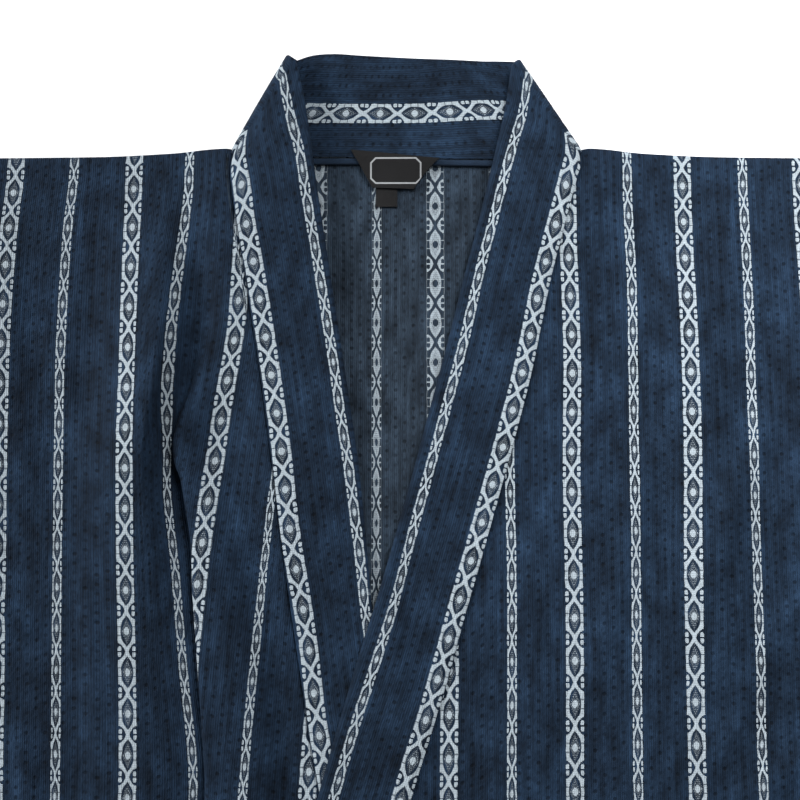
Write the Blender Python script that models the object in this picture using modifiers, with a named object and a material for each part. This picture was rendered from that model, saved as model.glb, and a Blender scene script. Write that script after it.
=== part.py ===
"""Jinbei jacket, laid flat on its back with its fronts crossed.

Millimetres in the tables, metres in the model. +X is to the right of someone who looks at the laid
jacket, +Y runs from the hem to the collar and +Z is up. Left and right in names are the wearer's, so
the left front lies at +X and on top. The origin is under the middle of the jacket's box.
"""

import math
from collections import namedtuple

import bmesh
import bpy
from mathutils import Vector

MM = 0.001

# Sizes of the jacket
LENGTH = 750.0
HALF_BODY = 280.0
NECK_HALF = 96.6
CUFF_X = 610.0
SLEEVE_DEPTH = 250.0
BAND_END = 500.0
LAST_BAND_ROW = BAND_END + 0.4
FIRST_FREE_ROW = BAND_END + 1.0
COLLAR_TOP = 54.5
SHOULDER_ABOVE_ORIGIN = (LENGTH - COLLAR_TOP) / 2

# Cloth walls, and the room between laid layers
CLOTH = 1.2
BAND = 2.8
TIE_CLOTH = 1.6
LABEL_CLOTH = 1.0
SEAM_GAP = 0.3
BAND_GAP = 0.6
ARMHOLE_GAP = 0.5
LAY_GAP = 0.5
BACK_MID = CLOTH / 2
FRONT_MID = CLOTH + LAY_GAP + CLOTH / 2
EDGE_MID = CLOTH + SEAM_GAP + CLOTH / 2
EDGE_STRIP = 12.0
OVER_LIFT = BAND + LAY_GAP

# The shoulder line is not quite straight: how far it lies above y 0
ShoulderRow = namedtuple("ShoulderRow", "out above")
SHOULDER = [
    ShoulderRow(0.0, -0.5),
    ShoulderRow(93.0, -0.5),
    ShoulderRow(100.0, 0.5),
    ShoulderRow(130.0, -1.5),
    ShoulderRow(170.0, -3.4),
    ShoulderRow(280.0, -4.5),
    ShoulderRow(610.0, -8.0),
]
SHOULDER_FADE = 60.0

# Where each front is sewn to the collar band, and how high the band's seam stands over the flat
SeamRow = namedtuple("SeamRow", "down x raised")
RIGHT_SEAM = [
    SeamRow(0.0, -98.0, 3.3),
    SeamRow(10.0, -96.8, 4.9),
    SeamRow(22.0, -95.4, 6.4),
    SeamRow(42.0, -92.6, 5.9),
    SeamRow(68.0, -88.2, 4.4),
    SeamRow(102.0, -82.7, 3.4),
    SeamRow(140.0, -76.7, 3.9),
    SeamRow(180.0, -71.2, 4.9),
    SeamRow(225.0, -65.3, 3.4),
    SeamRow(270.0, -58.6, 0.5),
    SeamRow(342.0, -46.7, 0.0),
    SeamRow(420.0, -28.0, 0.0),
    SeamRow(500.0, -7.0, 0.0),
]
LEFT_SEAM = [
    SeamRow(0.0, 98.2, 3.1),
    SeamRow(8.0, 95.2, 3.9),
    SeamRow(22.0, 90.2, 4.4),
    SeamRow(48.0, 83.3, 3.9),
    SeamRow(82.0, 74.7, 2.4),
    SeamRow(122.0, 64.7, 1.4),
    SeamRow(160.0, 53.2, 0.5),
    SeamRow(205.0, 40.8, 0.0),
    SeamRow(252.0, 28.0, 0.0),
    SeamRow(285.0, 19.4, 0.0),
    SeamRow(346.0, 0.4, 0.0),
    SeamRow(425.0, -21.0, 0.0),
    SeamRow(500.0, -42.5, 0.0),
]
SEAM_SLOPE = 40.0
RIGHT_EDGE_X = 40.0
LEFT_EDGE_X = -89.5

# The under front's big fold, a row for each height. The cloth rises to a hump, falls to where it
# bends, turns up through an angle over one bend, runs straight, and turns level again over another.
FoldRow = namedtuple("FoldRow", "down hump_x hump_z bend_x turn bend run")
BIG_FOLD = [
    FoldRow(0.0, -133.0, 0.0, -124.0, 0.0, 4.6, 1.0),
    FoldRow(30.0, -133.0, 2.5, -118.0, 3.0, 4.6, 1.0),
    FoldRow(60.0, -133.5, 7.5, -112.0, 8.0, 4.6, 1.0),
    FoldRow(83.0, -134.0, 11.0, -110.0, 14.0, 4.6, 1.0),
    FoldRow(105.0, -134.5, 14.0, -114.0, 24.0, 4.6, 1.0),
    FoldRow(126.0, -136.0, 16.0, -119.5, 40.0, 4.6, 1.0),
    FoldRow(144.0, -138.0, 17.5, -125.0, 70.0, 4.6, 1.0),
    FoldRow(159.0, -140.0, 17.5, -127.1, 105.0, 4.8, 1.0),
    FoldRow(170.0, -141.0, 16.5, -125.5, 120.0, 5.4, 1.0),
    FoldRow(180.0, -142.0, 15.0, -120.8, 135.0, 6.0, 1.0),
    FoldRow(191.0, -142.0, 13.5, -116.7, 155.0, 6.0, 1.4),
    FoldRow(213.0, -142.0, 11.5, -110.4, 176.0, 6.2, 2.5),
    FoldRow(244.0, -141.0, 9.0, -106.3, 180.0, 6.2, 4.5),
    FoldRow(275.0, -140.0, 7.5, -99.8, 180.0, 6.2, 8.3),
    FoldRow(306.0, -139.0, 6.5, -95.0, 180.0, 6.2, 10.5),
    FoldRow(342.0, -138.0, 6.0, -90.9, 180.0, 6.2, 12.0),
    FoldRow(400.0, -146.0, 5.5, -99.0, 180.0, 6.2, 12.0),
    FoldRow(450.0, -154.0, 5.0, -109.0, 180.0, 6.2, 12.0),
    FoldRow(500.0, -164.0, 4.0, -121.0, 180.0, 6.2, 12.0),
    FoldRow(750.0, -164.0, 4.0, -121.0, 180.0, 6.2, 12.0),
]
HUMP_REACH = 42.0
BEND_STEPS = 5
LEVEL_FROM = 60.0
LEVEL_BY = 120.0
SETTLE = 26.0

# Soft ridges of the laid cloth: from one end to the other, half their width, and their height
Ridge = namedtuple("Ridge", "x0 y0 x1 y1 half_width height")
LEFT_FRONT_RIDGES = [
    Ridge(148.0, -60.0, 172.0, -300.0, 27.0, 5.0),
    Ridge(222.0, -40.0, 238.0, -400.0, 30.0, 6.0),
    Ridge(112.0, -350.0, 150.0, -620.0, 30.0, 5.0),
    Ridge(20.0, -560.0, 48.0, -790.0, 30.0, 5.5),
    Ridge(236.0, -500.0, 212.0, -790.0, 30.0, 6.0),
]
RIGHT_FRONT_RIDGES = [
    Ridge(-236.0, -50.0, -250.0, -400.0, 28.0, 5.0),
    Ridge(-186.0, -520.0, -180.0, -790.0, 30.0, 5.0),
    Ridge(-60.0, -600.0, -36.0, -790.0, 26.0, 2.0),
]
SLEEVE_RIDGES = [
    Ridge(250.0, -244.0, 560.0, -120.0, 30.0, 3.2),
    Ridge(260.0, -70.0, 620.0, -62.0, 30.0, 2.8),
    Ridge(430.0, -226.0, 660.0, -180.0, 26.0, 2.6),
]

# The collar band, a row for each place across it: its sewn edge and its free edge
Station = namedtuple("Station", "sewn_x sewn_y sewn_z free_x free_y free_z crown")
RIGHT_COLLAR = [
    Station(-7.0, -500.0, 3.2, 40.0, -500.0, 3.2, 0.0),
    Station(-28.0, -420.0, 3.2, 19.0, -413.0, 3.2, 0.0),
    Station(-46.7, -342.0, 3.2, 0.0, -335.0, 3.2, 0.0),
    Station(-58.6, -270.0, 3.6, -17.2, -263.0, 3.2, 0.5),
    Station(-65.3, -225.0, 6.5, -22.0, -219.0, 3.6, 1.0),
    Station(-71.2, -180.0, 8.0, -26.6, -174.0, 4.6, 1.0),
    Station(-76.7, -140.0, 7.0, -32.4, -134.0, 5.6, 1.0),
    Station(-82.7, -102.0, 6.5, -38.6, -94.0, 7.0, 1.0),
    Station(-88.2, -68.0, 7.5, -44.6, -55.0, 9.0, 1.5),
    Station(-92.6, -42.0, 9.0, -50.0, -20.0, 11.5, 2.0),
    Station(-95.4, -22.0, 9.5, -54.3, 12.0, 14.0, 2.0),
    Station(-96.4, -10.0, 8.0, -58.4, 34.0, 16.0, 2.0),
    Station(-94.6, -2.5, 7.0, -61.6, 47.5, 16.5, 2.0),
]
BACK_COLLAR = [
    Station(-94.4, -3.0, 3.0, -61.8, 48.5, 6.0, 0.0),
    Station(-82.0, -3.2, 3.0, -52.0, 53.0, 5.4, 0.0),
    Station(-66.0, -3.2, 3.0, -40.0, 54.5, 5.2, 0.0),
    Station(-40.0, -3.0, 3.0, -25.0, 53.6, 5.0, 0.0),
    Station(0.0, -3.6, 3.0, 0.0, 52.2, 5.0, 0.0),
    Station(40.0, -4.2, 3.0, 26.0, 51.2, 5.0, 0.0),
    Station(66.0, -4.4, 3.0, 40.0, 50.4, 5.0, 0.0),
    Station(82.0, -4.0, 3.0, 50.0, 50.6, 5.0, 0.0),
    Station(93.2, -2.6, 3.0, 59.0, 47.0, 5.2, 0.0),
]
LEFT_COLLAR = [
    Station(93.4, -2.2, 6.9, 58.8, 46.0, 11.5, 1.0),
    Station(94.4, -8.0, 7.0, 53.6, 23.0, 10.5, 1.5),
    Station(90.2, -22.0, 7.5, 48.8, 2.0, 9.5, 1.5),
    Station(83.3, -48.0, 7.0, 40.0, -35.0, 8.5, 1.5),
    Station(74.7, -82.0, 5.5, 30.4, -72.0, 7.0, 1.0),
    Station(64.7, -122.0, 4.5, 20.8, -110.0, 5.6, 0.5),
    Station(53.2, -160.0, 3.6, 10.6, -148.0, 4.4, 0.5),
    Station(40.8, -205.0, 3.2, -1.6, -193.0, 3.4, 0.0),
    Station(28.0, -252.0, 3.2, -15.4, -241.0, 3.2, 0.0),
    Station(19.4, -285.0, 3.2, -25.8, -274.0, 3.2, 0.0),
    Station(0.4, -346.0, 3.2, -43.6, -335.0, 3.2, 0.0),
    Station(-21.0, -425.0, 3.2, -65.4, -413.0, 3.2, 0.0),
    Station(-42.5, -500.0, 3.2, -89.5, -500.0, 3.2, 0.0),
]
ROLL_STEPS = 7
RIGHT_ROLL = {"sewn": 2.0, "free": 4.6}
LEFT_ROLL = {"sewn": 1.8, "free": 3.0}
ACROSS_BAND = 5

# The free edge of the under band, which the over pieces climb
FreeRow = namedtuple("FreeRow", "down x")
UNDER_FREE_EDGE = [
    FreeRow(0.0, -53.0),
    FreeRow(82.6, -40.6),
    FreeRow(148.1, -30.1),
    FreeRow(175.0, -26.8),
    FreeRow(219.0, -22.0),
    FreeRow(263.0, -17.2),
    FreeRow(335.0, 0.0),
    FreeRow(413.0, 19.0),
    FreeRow(500.0, 40.0),
    FreeRow(750.0, 40.0),
]
CLIMB_FROM = 24.0
CLIMB_TO = 5.0

# The label, the size tab under it, and the ties: the middle line of each, its half width and height
StripRow = namedtuple("StripRow", "x y half_width z")
NECK_LABEL = [
    StripRow(-7.0, -1.8, 24.6, 5.7),
    StripRow(-7.3, -5.0, 21.9, 5.3),
    StripRow(-7.8, -12.0, 16.7, 4.0),
    StripRow(-8.1, -20.6, 11.4, 3.6),
]
SIZE_TAB = [
    StripRow(-11.4, -16.0, 6.6, 2.2),
    StripRow(-11.4, -30.6, 6.6, 2.2),
]
LEFT_TIE = [
    StripRow(-74.0, -503.0, 8.0, 7.4),
    StripRow(-76.0, -555.0, 8.0, 7.4),
    StripRow(-70.0, -620.0, 8.0, 7.4),
    StripRow(-77.0, -700.0, 8.0, 7.4),
]
RIGHT_TIE = [
    StripRow(-270.0, -500.0, 8.0, 4.3),
    StripRow(-258.0, -550.0, 8.0, 4.3),
    StripRow(-240.0, -615.0, 8.0, 4.3),
    StripRow(-243.0, -700.0, 8.0, 4.3),
]
TIE_STEPS = 12
LABEL_STEPS = 4

SLEEVE_STEPS = 11
SLEEVE_TURN_STEPS = 4

ROWS_DOWN = [0, 12, 30, 45, 60, 75, 90, 105, 120, 132, 144, 156, 168, 180, 192, 204, 218, 232, 246,
             262, 280, 300, 322, 345, 375, 410, 450, LAST_BAND_ROW, FIRST_FREE_ROW, 560, 620, 690, LENGTH]

NAVY = (0.012, 0.024, 0.055, 1.0)
LABEL_BLACK = (0.02, 0.021, 0.023, 1.0)
CLOTH_ROUGHNESS = 0.9
LABEL_ROUGHNESS = 0.7


def smooth(t):
    """An even rise from 0 to 1."""
    t = max(0.0, min(1.0, t))
    return t * t * (3.0 - 2.0 * t)


def mix(a, b, t):
    return a + (b - a) * t


def read(rows, column, at, key=0):
    """A column of a table at a place between its rows, on a smooth line that never overshoots."""
    if at <= rows[0][key]:
        return getattr(rows[0], column)
    if at >= rows[-1][key]:
        return getattr(rows[-1], column)
    places = [row[key] for row in rows]
    values = [getattr(row, column) for row in rows]
    steps = [(values[i + 1] - values[i]) / (places[i + 1] - places[i]) for i in range(len(rows) - 1)]
    slopes = [steps[0]]
    for before, after in zip(steps, steps[1:]):
        same_way = before * after > 0
        slopes.append(2.0 * before * after / (before + after) if same_way else 0.0)
    slopes.append(steps[-1])
    i = max(k for k in range(len(rows) - 1) if places[k] <= at)
    span = places[i + 1] - places[i]
    t = (at - places[i]) / span
    start = values[i] * (1 + 2 * t) * (1 - t) ** 2 + slopes[i] * span * t * (1 - t) ** 2
    end = values[i + 1] * t * t * (3 - 2 * t) + slopes[i + 1] * span * t * t * (t - 1)
    return start + end


def ridge_height(ridges, x, y):
    """How high the soft ridges lift the cloth at a place."""
    total = 0.0
    for r in ridges:
        along_x, along_y = r.x1 - r.x0, r.y1 - r.y0
        length = math.hypot(along_x, along_y)
        along = ((x - r.x0) * along_x + (y - r.y0) * along_y) / (length * length)
        across = ((x - r.x0) * along_y - (y - r.y0) * along_x) / (length * r.half_width)
        if 0.0 < along < 1.0 and abs(across) < 1.0:
            total += r.height * (1 - across * across) ** 2 * (1 - (2 * along - 1) ** 4)
    return total


def row_y(x, down):
    """A row's y at x: rows near the shoulder follow its line."""
    return -down + read(SHOULDER, "above", abs(x)) * (1 - smooth(down / SHOULDER_FADE))


def seam_raise(rows, x, down):
    """How far the cloth beside the band's seam is lifted."""
    away = abs(x - read(rows, "x", down))
    return read(rows, "raised", down) * (1 - smooth(away / SEAM_SLOPE))


def climb(x, down):
    """How far the over front and its band rise where the under band lies beneath them."""
    edge = read(UNDER_FREE_EDGE, "x", down)
    return OVER_LIFT * smooth((edge + CLIMB_FROM - x) / (CLIMB_FROM - CLIMB_TO))


def even_steps(start, end, count):
    """The places after start, up to end, in equal steps."""
    return [mix(start, end, k / count) for k in range(1, count + 1)]


def big_fold_section(down, side_x, inner_x):
    """The under front's cut across the body: (x, height over the flat) from its side to its inner edge."""
    hump_x, hump_z, bend_x, turn, bend, run = (
        read(BIG_FOLD, name, down) for name in ("hump_x", "hump_z", "bend_x", "turn", "bend", "run")
    )
    points = [(side_x, 0.0)]
    points += [(x, 0.0) for x in even_steps(side_x, hump_x - HUMP_REACH, 4)]
    points += [(x, hump_z * smooth(1 - (hump_x - x) / HUMP_REACH))
               for x in even_steps(hump_x - HUMP_REACH, hump_x, 5)]
    points += [(x, hump_z * smooth((bend_x - x) / (bend_x - hump_x)))
               for x in even_steps(hump_x, bend_x, 6)]
    x, z = bend_x, 0.0
    angle = math.radians(turn)
    for k in range(BEND_STEPS):
        heading = angle * (k + 0.5) / BEND_STEPS
        x += math.cos(heading) * bend / BEND_STEPS
        z += math.sin(heading) * bend / BEND_STEPS
        points.append((x, z))
    lower_right = max(p[0] for p in points[-BEND_STEPS:])
    x += math.cos(angle) * run
    z += math.sin(angle) * run
    points.append((x, z))
    for k in range(BEND_STEPS):
        heading = angle * (1 - (k + 0.5) / BEND_STEPS)
        x += math.cos(heading) * bend / BEND_STEPS
        z += math.sin(heading) * bend / BEND_STEPS
        points.append((x, z))
    level = smooth((turn - LEVEL_FROM) / (LEVEL_BY - LEVEL_FROM))
    settle_from = max(x + 0.5, mix(x + 0.5, lower_right + 3.0, level))
    settle_to = min(settle_from + SETTLE, mix(settle_from, inner_x, 0.8))
    points.append((settle_from, z))
    points += [(place, z * smooth((settle_to - place) / (settle_to - settle_from)))
               for place in even_steps(settle_from, settle_to, 4)]
    points += [(place, 0.0) for place in even_steps(settle_to, inner_x, 5)]
    return points


def right_front_point(down, x, height):
    """A point of the under front's middle surface."""
    y = row_y(x, down)
    edge = min(down, x + HALF_BODY) / EDGE_STRIP
    z = mix(EDGE_MID, FRONT_MID, smooth(edge)) + height
    if down <= LAST_BAND_ROW:
        z += seam_raise(RIGHT_SEAM, x, down)
    z += ridge_height(RIGHT_FRONT_RIDGES, x, y)
    return place(x, y, z)


def left_front_point(down, x):
    """A point of the over front's middle surface."""
    y = row_y(x, down)
    edge = min(down, HALF_BODY - x) / EDGE_STRIP
    z = mix(EDGE_MID, FRONT_MID, smooth(edge)) + climb(x, down)
    if down <= LAST_BAND_ROW:
        z += seam_raise(LEFT_SEAM, x, down)
    z += ridge_height(LEFT_FRONT_RIDGES, x, y)
    return place(x, y, z)


def place(x, y, z):
    """A garment point in millimetres from the shoulder line, as a point of the model in metres."""
    return Vector((x * MM, (y + SHOULDER_ABOVE_ORIGIN) * MM, z * MM))


def inner_edge(rows, edge_x, side, down):
    """Where a front ends: beside the band's seam above its end, and at its own hem below."""
    if down <= LAST_BAND_ROW:
        return read(rows, "x", down) + side * BAND_GAP
    return edge_x


def finish_object(name, mesh, material, collection, thickness=None):
    """Puts a mesh in the collection, with its wall if it is an open surface."""
    mesh.materials.append(material)
    obj = bpy.data.objects.new(name, mesh)
    collection.objects.link(obj)
    if thickness is not None:
        wall = obj.modifiers.new("wall", "SOLIDIFY")
        wall.thickness = thickness * MM
        wall.offset = 0.0
        wall.use_even_offset = False
    return obj


def cloth_from_grid(name, grid, thickness, material, collection, ring=False):
    """An open surface through rows of points, given its wall. A ring's rows close on themselves."""
    rows, columns = len(grid) - 1, len(grid[0]) - 1
    mesh = bpy.data.meshes.new(name)
    bm = bmesh.new()
    bmesh.ops.create_grid(bm, x_segments=columns, y_segments=rows, size=1.0)
    for vert in bm.verts:
        i = round((vert.co.x + 1) * columns / 2)
        j = round((vert.co.y + 1) * rows / 2)
        vert.co = grid[j][i]
    if ring:
        bmesh.ops.remove_doubles(bm, verts=bm.verts, dist=1e-6)
    bm.to_mesh(mesh)
    bm.free()
    mesh.shade_smooth()
    return finish_object(name, mesh, material, collection, thickness)


def make_back(material, collection):
    """The back: a flat panel with a shallow neck, one piece with no centre seam."""
    half = [(HALF_BODY, -LENGTH)]
    half += [(row.out, row.above) for row in reversed(SHOULDER) if row.out <= HALF_BODY]
    outline = half + [(-x, y) for x, y in reversed(half) if x > 0.0]
    curve = bpy.data.curves.new("back_body", "CURVE")
    curve.dimensions = "2D"
    curve.fill_mode = "BOTH"
    curve.extrude = CLOTH / 2 * MM
    spline = curve.splines.new("POLY")
    spline.points.add(len(outline) - 1)
    for point, (x, y) in zip(spline.points, outline):
        point.co = (x * MM, (y + SHOULDER_ABOVE_ORIGIN) * MM, 0.0, 1.0)
    spline.use_cyclic_u = True
    guide = bpy.data.objects.new("back_outline", curve)
    collection.objects.link(guide)
    bpy.context.view_layer.update()
    evaluated = guide.evaluated_get(bpy.context.evaluated_depsgraph_get())
    mesh = bpy.data.meshes.new_from_object(evaluated)
    bpy.data.objects.remove(guide)
    bm = bmesh.new()
    bm.from_mesh(mesh)
    bmesh.ops.remove_doubles(bm, verts=bm.verts, dist=1e-6)
    bmesh.ops.recalc_face_normals(bm, faces=bm.faces)
    bmesh.ops.translate(bm, verts=bm.verts, vec=(0.0, 0.0, BACK_MID * MM))
    bm.to_mesh(mesh)
    bm.free()
    mesh.materials.clear()
    mesh.name = "back_body"
    return finish_object("back_body", mesh, material, collection)


def make_right_front(material, collection):
    """The under front, with its big fold."""
    grid = []
    for down in ROWS_DOWN:
        inner_x = inner_edge(RIGHT_SEAM, RIGHT_EDGE_X, -1, down)
        section = big_fold_section(down, -HALF_BODY, inner_x)
        grid.append([right_front_point(down, x, height) for x, height in section])
    return cloth_from_grid("front_right", grid, CLOTH, material, collection)


def make_left_front(material, collection):
    """The over front, which climbs the under band and the under front."""
    grid = []
    for down in ROWS_DOWN:
        inner_x = inner_edge(LEFT_SEAM, LEFT_EDGE_X, 1, down)
        under_edge = read(UNDER_FREE_EDGE, "x", down)
        climb_top = max(inner_x + 8.0, under_edge + CLIMB_TO)
        climb_foot = max(climb_top + 14.0, under_edge + CLIMB_FROM)
        across = [inner_x]
        across += even_steps(inner_x, climb_top, 4)
        across += even_steps(climb_top, climb_foot, 4)
        across += even_steps(climb_foot, HALF_BODY, 11)
        grid.append([left_front_point(down, x) for x in across])
    return cloth_from_grid("front_left", grid, CLOTH, material, collection)


def sleeve_ring(x):
    """A flattened ring round a sleeve at x: the lower layer, the fold on top, the upper layer."""
    top, bottom = row_y(x, 0.0), row_y(x, 0.0) - SLEEVE_DEPTH
    radius = (FRONT_MID - BACK_MID) / 2
    middle = (FRONT_MID + BACK_MID) / 2
    ring = [(bottom + radius, BACK_MID)]
    ring += [(y, BACK_MID) for y in even_steps(bottom + radius, top - radius, 3)]
    for k in range(1, SLEEVE_TURN_STEPS):
        angle = math.pi * k / SLEEVE_TURN_STEPS
        ring.append((top - radius + radius * math.sin(angle), middle - radius * math.cos(angle)))
    ring.append((top - radius, FRONT_MID))
    for y in even_steps(top - radius, bottom + radius, 13):
        ring.append((y, FRONT_MID + ridge_height(SLEEVE_RIDGES, abs(x), y)))
    ring[-1] = (bottom + radius, FRONT_MID)
    for k in range(1, SLEEVE_TURN_STEPS):
        angle = math.pi * k / SLEEVE_TURN_STEPS
        ring.append((bottom + radius - radius * math.sin(angle), middle + radius * math.cos(angle)))
    ring.append(ring[0])
    return ring


def make_sleeve(name, side, material, collection):
    """A sleeve: one piece folded along its top, a flattened tube that is open at both ends."""
    armhole = HALF_BODY + ARMHOLE_GAP
    grid = []
    for out in [armhole] + even_steps(armhole, CUFF_X, SLEEVE_STEPS):
        grid.append([place(side * out, y, z) for y, z in sleeve_ring(side * out)])
    return cloth_from_grid(name, grid, CLOTH, material, collection, ring=True)


def on_smooth_line(rows, at):
    """The row at a place counted along the rows 0, 1, 2, with every column on a smooth curve."""
    last = len(rows) - 1
    i = min(int(at), last - 1)
    t = at - i
    values = []
    for before, here, there, after in zip(rows[max(i - 1, 0)], rows[i], rows[i + 1], rows[min(i + 2, last)]):
        pull = (there - before) / 2 * t * (1 - t) ** 2 + (after - here) / 2 * t * t * (t - 1)
        values.append(here * (1 + 2 * t) * (1 - t) ** 2 + there * t * t * (3 - 2 * t) + pull)
    return type(rows[0])(*values)


def refined(rows, steps):
    """Rows on a smooth line through the given ones, in equal steps from the first to the last."""
    return [on_smooth_line(rows, k / steps * (len(rows) - 1)) for k in range(steps + 1)]


def roll_stations(front, back, reach):
    """The band's turn over the shoulder: a half round from its front stretch to its back one."""
    result = []
    out = Vector((front.sewn_y - front.free_y, front.free_x - front.sewn_x)).normalized()
    if out.x * front.sewn_x < 0:
        out = -out
    for k in range(1, ROLL_STEPS):
        angle = math.pi * k / ROLL_STEPS
        share = (1 - math.cos(angle)) / 2
        values = [mix(a, b, share) for a, b in zip(front, back)]
        values[0] += out.x * reach["sewn"] * math.sin(angle)
        values[1] += out.y * reach["sewn"] * math.sin(angle)
        values[3] += out.x * reach["free"] * math.sin(angle)
        values[4] += out.y * reach["free"] * math.sin(angle)
        values[6] = front.crown * math.cos(angle / 2)
        result.append(Station(*values))
    return result


def make_collar(material, collection):
    """The collar band: one doubled strip, up the under front, round the neck, down the over front."""
    right, back, left = (
        refined(rows, 2 * (len(rows) - 1)) for rows in (RIGHT_COLLAR, BACK_COLLAR, LEFT_COLLAR)
    )
    round_right = roll_stations(RIGHT_COLLAR[-1], BACK_COLLAR[0], RIGHT_ROLL)
    round_left = roll_stations(LEFT_COLLAR[0], BACK_COLLAR[-1], LEFT_ROLL)
    over_from = len(right) + len(round_right) + len(back)
    stations = right + round_right + back + round_left[::-1] + left
    grid = []
    for number, s in enumerate(stations):
        row = []
        for k in range(ACROSS_BAND + 1):
            w = k / ACROSS_BAND
            x, y = mix(s.sewn_x, s.free_x, w), mix(s.sewn_y, s.free_y, w)
            z = mix(s.sewn_z, s.free_z, w) + s.crown * 4 * w * (1 - w)
            if number >= over_from:
                z += climb(x, -y)
            row.append(place(x, y, z))
        grid.append(row)
    return cloth_from_grid("collar_band", grid, BAND, material, collection)


def make_strip(name, rows, steps, thickness, material, collection):
    """A flat strip, such as a tie or a label, along its rows."""
    fine = refined(rows, steps)
    grid = []
    for k, row in enumerate(fine):
        before, after = fine[max(k - 1, 0)], fine[min(k + 1, steps)]
        heading = Vector((after.x - before.x, after.y - before.y)).normalized()
        side = Vector((-heading.y, heading.x)) * row.half_width
        grid.append([
            place(row.x - side.x, row.y - side.y, row.z),
            place(row.x, row.y, row.z),
            place(row.x + side.x, row.y + side.y, row.z),
        ])
    return cloth_from_grid(name, grid, thickness, material, collection)


def make_material(name, color, roughness):
    """A cloth finish."""
    material = bpy.data.materials.new(name)
    material.use_nodes = True
    shader = material.node_tree.nodes["Principled BSDF"]
    shader.inputs["Base Color"].default_value = color
    shader.inputs["Roughness"].default_value = roughness
    shader.inputs["Metallic"].default_value = 0.0
    return material


def main():
    for obj in list(bpy.data.objects):
        bpy.data.objects.remove(obj)
    collection = bpy.data.collections.new("jinbei_jacket")
    bpy.context.scene.collection.children.link(collection)

    make_back(make_material("back_cloth", NAVY, CLOTH_ROUGHNESS), collection)
    make_right_front(make_material("right_front_cloth", NAVY, CLOTH_ROUGHNESS), collection)
    make_left_front(make_material("left_front_cloth", NAVY, CLOTH_ROUGHNESS), collection)
    make_collar(make_material("collar_cloth", NAVY, CLOTH_ROUGHNESS), collection)
    for side, name in ((-1, "right"), (1, "left")):
        finish = make_material(f"{name}_sleeve_cloth", NAVY, CLOTH_ROUGHNESS)
        make_sleeve(f"sleeve_{name}", side, finish, collection)
    for name, rows, slot in (("tie_left", LEFT_TIE, "left_tie_cloth"), ("tie_right", RIGHT_TIE, "right_tie_cloth")):
        make_strip(name, rows, TIE_STEPS, TIE_CLOTH, make_material(slot, NAVY, CLOTH_ROUGHNESS), collection)
    for name, rows, slot in (("neck_label", NECK_LABEL, "label_cloth"), ("size_tab", SIZE_TAB, "tab_cloth")):
        finish = make_material(slot, LABEL_BLACK, LABEL_ROUGHNESS)
        make_strip(name, rows, LABEL_STEPS, LABEL_CLOTH, finish, collection)


main()
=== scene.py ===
"""A striped jinbei jacket, laid flat on its back with its left front crossed over its right one: its looks.

The tables are in millimetres from the shoulder line, as in the part's source: +X is to the right of someone
who looks at the laid jacket, +Y runs from the hem to the collar and +Z is up. Left and right in names are
the wearer's. Each cloth has a UV map in metres: across it, out from the middle line, and along its warp.
"""

import math
from collections import namedtuple
from functools import partialmethod

import bmesh
import bpy
from bpy.props import FloatProperty, FloatVectorProperty, PointerProperty
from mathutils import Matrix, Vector


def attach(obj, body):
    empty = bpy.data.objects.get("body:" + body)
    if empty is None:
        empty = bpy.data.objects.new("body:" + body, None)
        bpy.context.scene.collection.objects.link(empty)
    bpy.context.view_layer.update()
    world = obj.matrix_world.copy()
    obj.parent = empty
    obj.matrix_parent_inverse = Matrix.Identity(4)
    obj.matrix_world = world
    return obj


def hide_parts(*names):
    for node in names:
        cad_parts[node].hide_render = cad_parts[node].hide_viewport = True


bl_info = {
    "name": "Striped jinbei jacket",
    "version": (1, 0, 0),
    "blender": (4, 5, 0),
    "location": "3D View > Sidebar > Jinbei",
    "description": "Dresses the packed jacket with striped cotton, seams, ties and a neck label",
    "category": "Object",
}

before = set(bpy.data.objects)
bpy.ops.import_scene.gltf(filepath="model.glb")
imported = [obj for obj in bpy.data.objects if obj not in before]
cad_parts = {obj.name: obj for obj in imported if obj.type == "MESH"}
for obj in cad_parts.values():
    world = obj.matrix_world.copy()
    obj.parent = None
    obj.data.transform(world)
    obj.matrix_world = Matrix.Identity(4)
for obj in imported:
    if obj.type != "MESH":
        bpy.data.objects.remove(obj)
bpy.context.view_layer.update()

MM = 0.001


def rows_of(kind, *rows):
    """A table's rows, each with its columns named."""
    return [kind(*row) for row in rows]


# Sizes of the jacket
LENGTH = 750.0
HALF_BODY = 280.0
CUFF_X = 610.0
SLEEVE_DEPTH = 250.0
BAND_END = 500.0
LAST_BAND_ROW = BAND_END + 0.4
FIRST_FREE_ROW = BAND_END + 1.0
COLLAR_TOP = 54.5
SHOULDER_ABOVE_ORIGIN = (LENGTH - COLLAR_TOP) / 2

# Walls of the part's solids, and the room between laid layers
CLOTH = 1.2
BAND = 2.8
TIE_CLOTH = 1.6
SEAM_GAP = 0.3
BAND_TUCK = 0.8
ARMHOLE_GAP = 0.5
LAY_GAP = 0.5
BACK_MID = CLOTH / 2
FRONT_MID = CLOTH + LAY_GAP + CLOTH / 2
EDGE_MID = CLOTH + SEAM_GAP + CLOTH / 2
EDGE_STRIP = 12.0
OVER_LIFT = BAND + LAY_GAP

# The shoulder line is not quite straight: how far it lies above y 0
ShoulderRow = namedtuple("ShoulderRow", "out above")
SHOULDER = rows_of(ShoulderRow,
    (0, -0.5),
    (93, -0.5),
    (100, 0.5),
    (130, -1.5),
    (170, -3.4),
    (280, -4.5),
    (610, -8),
)
SHOULDER_FADE = 60.0

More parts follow.
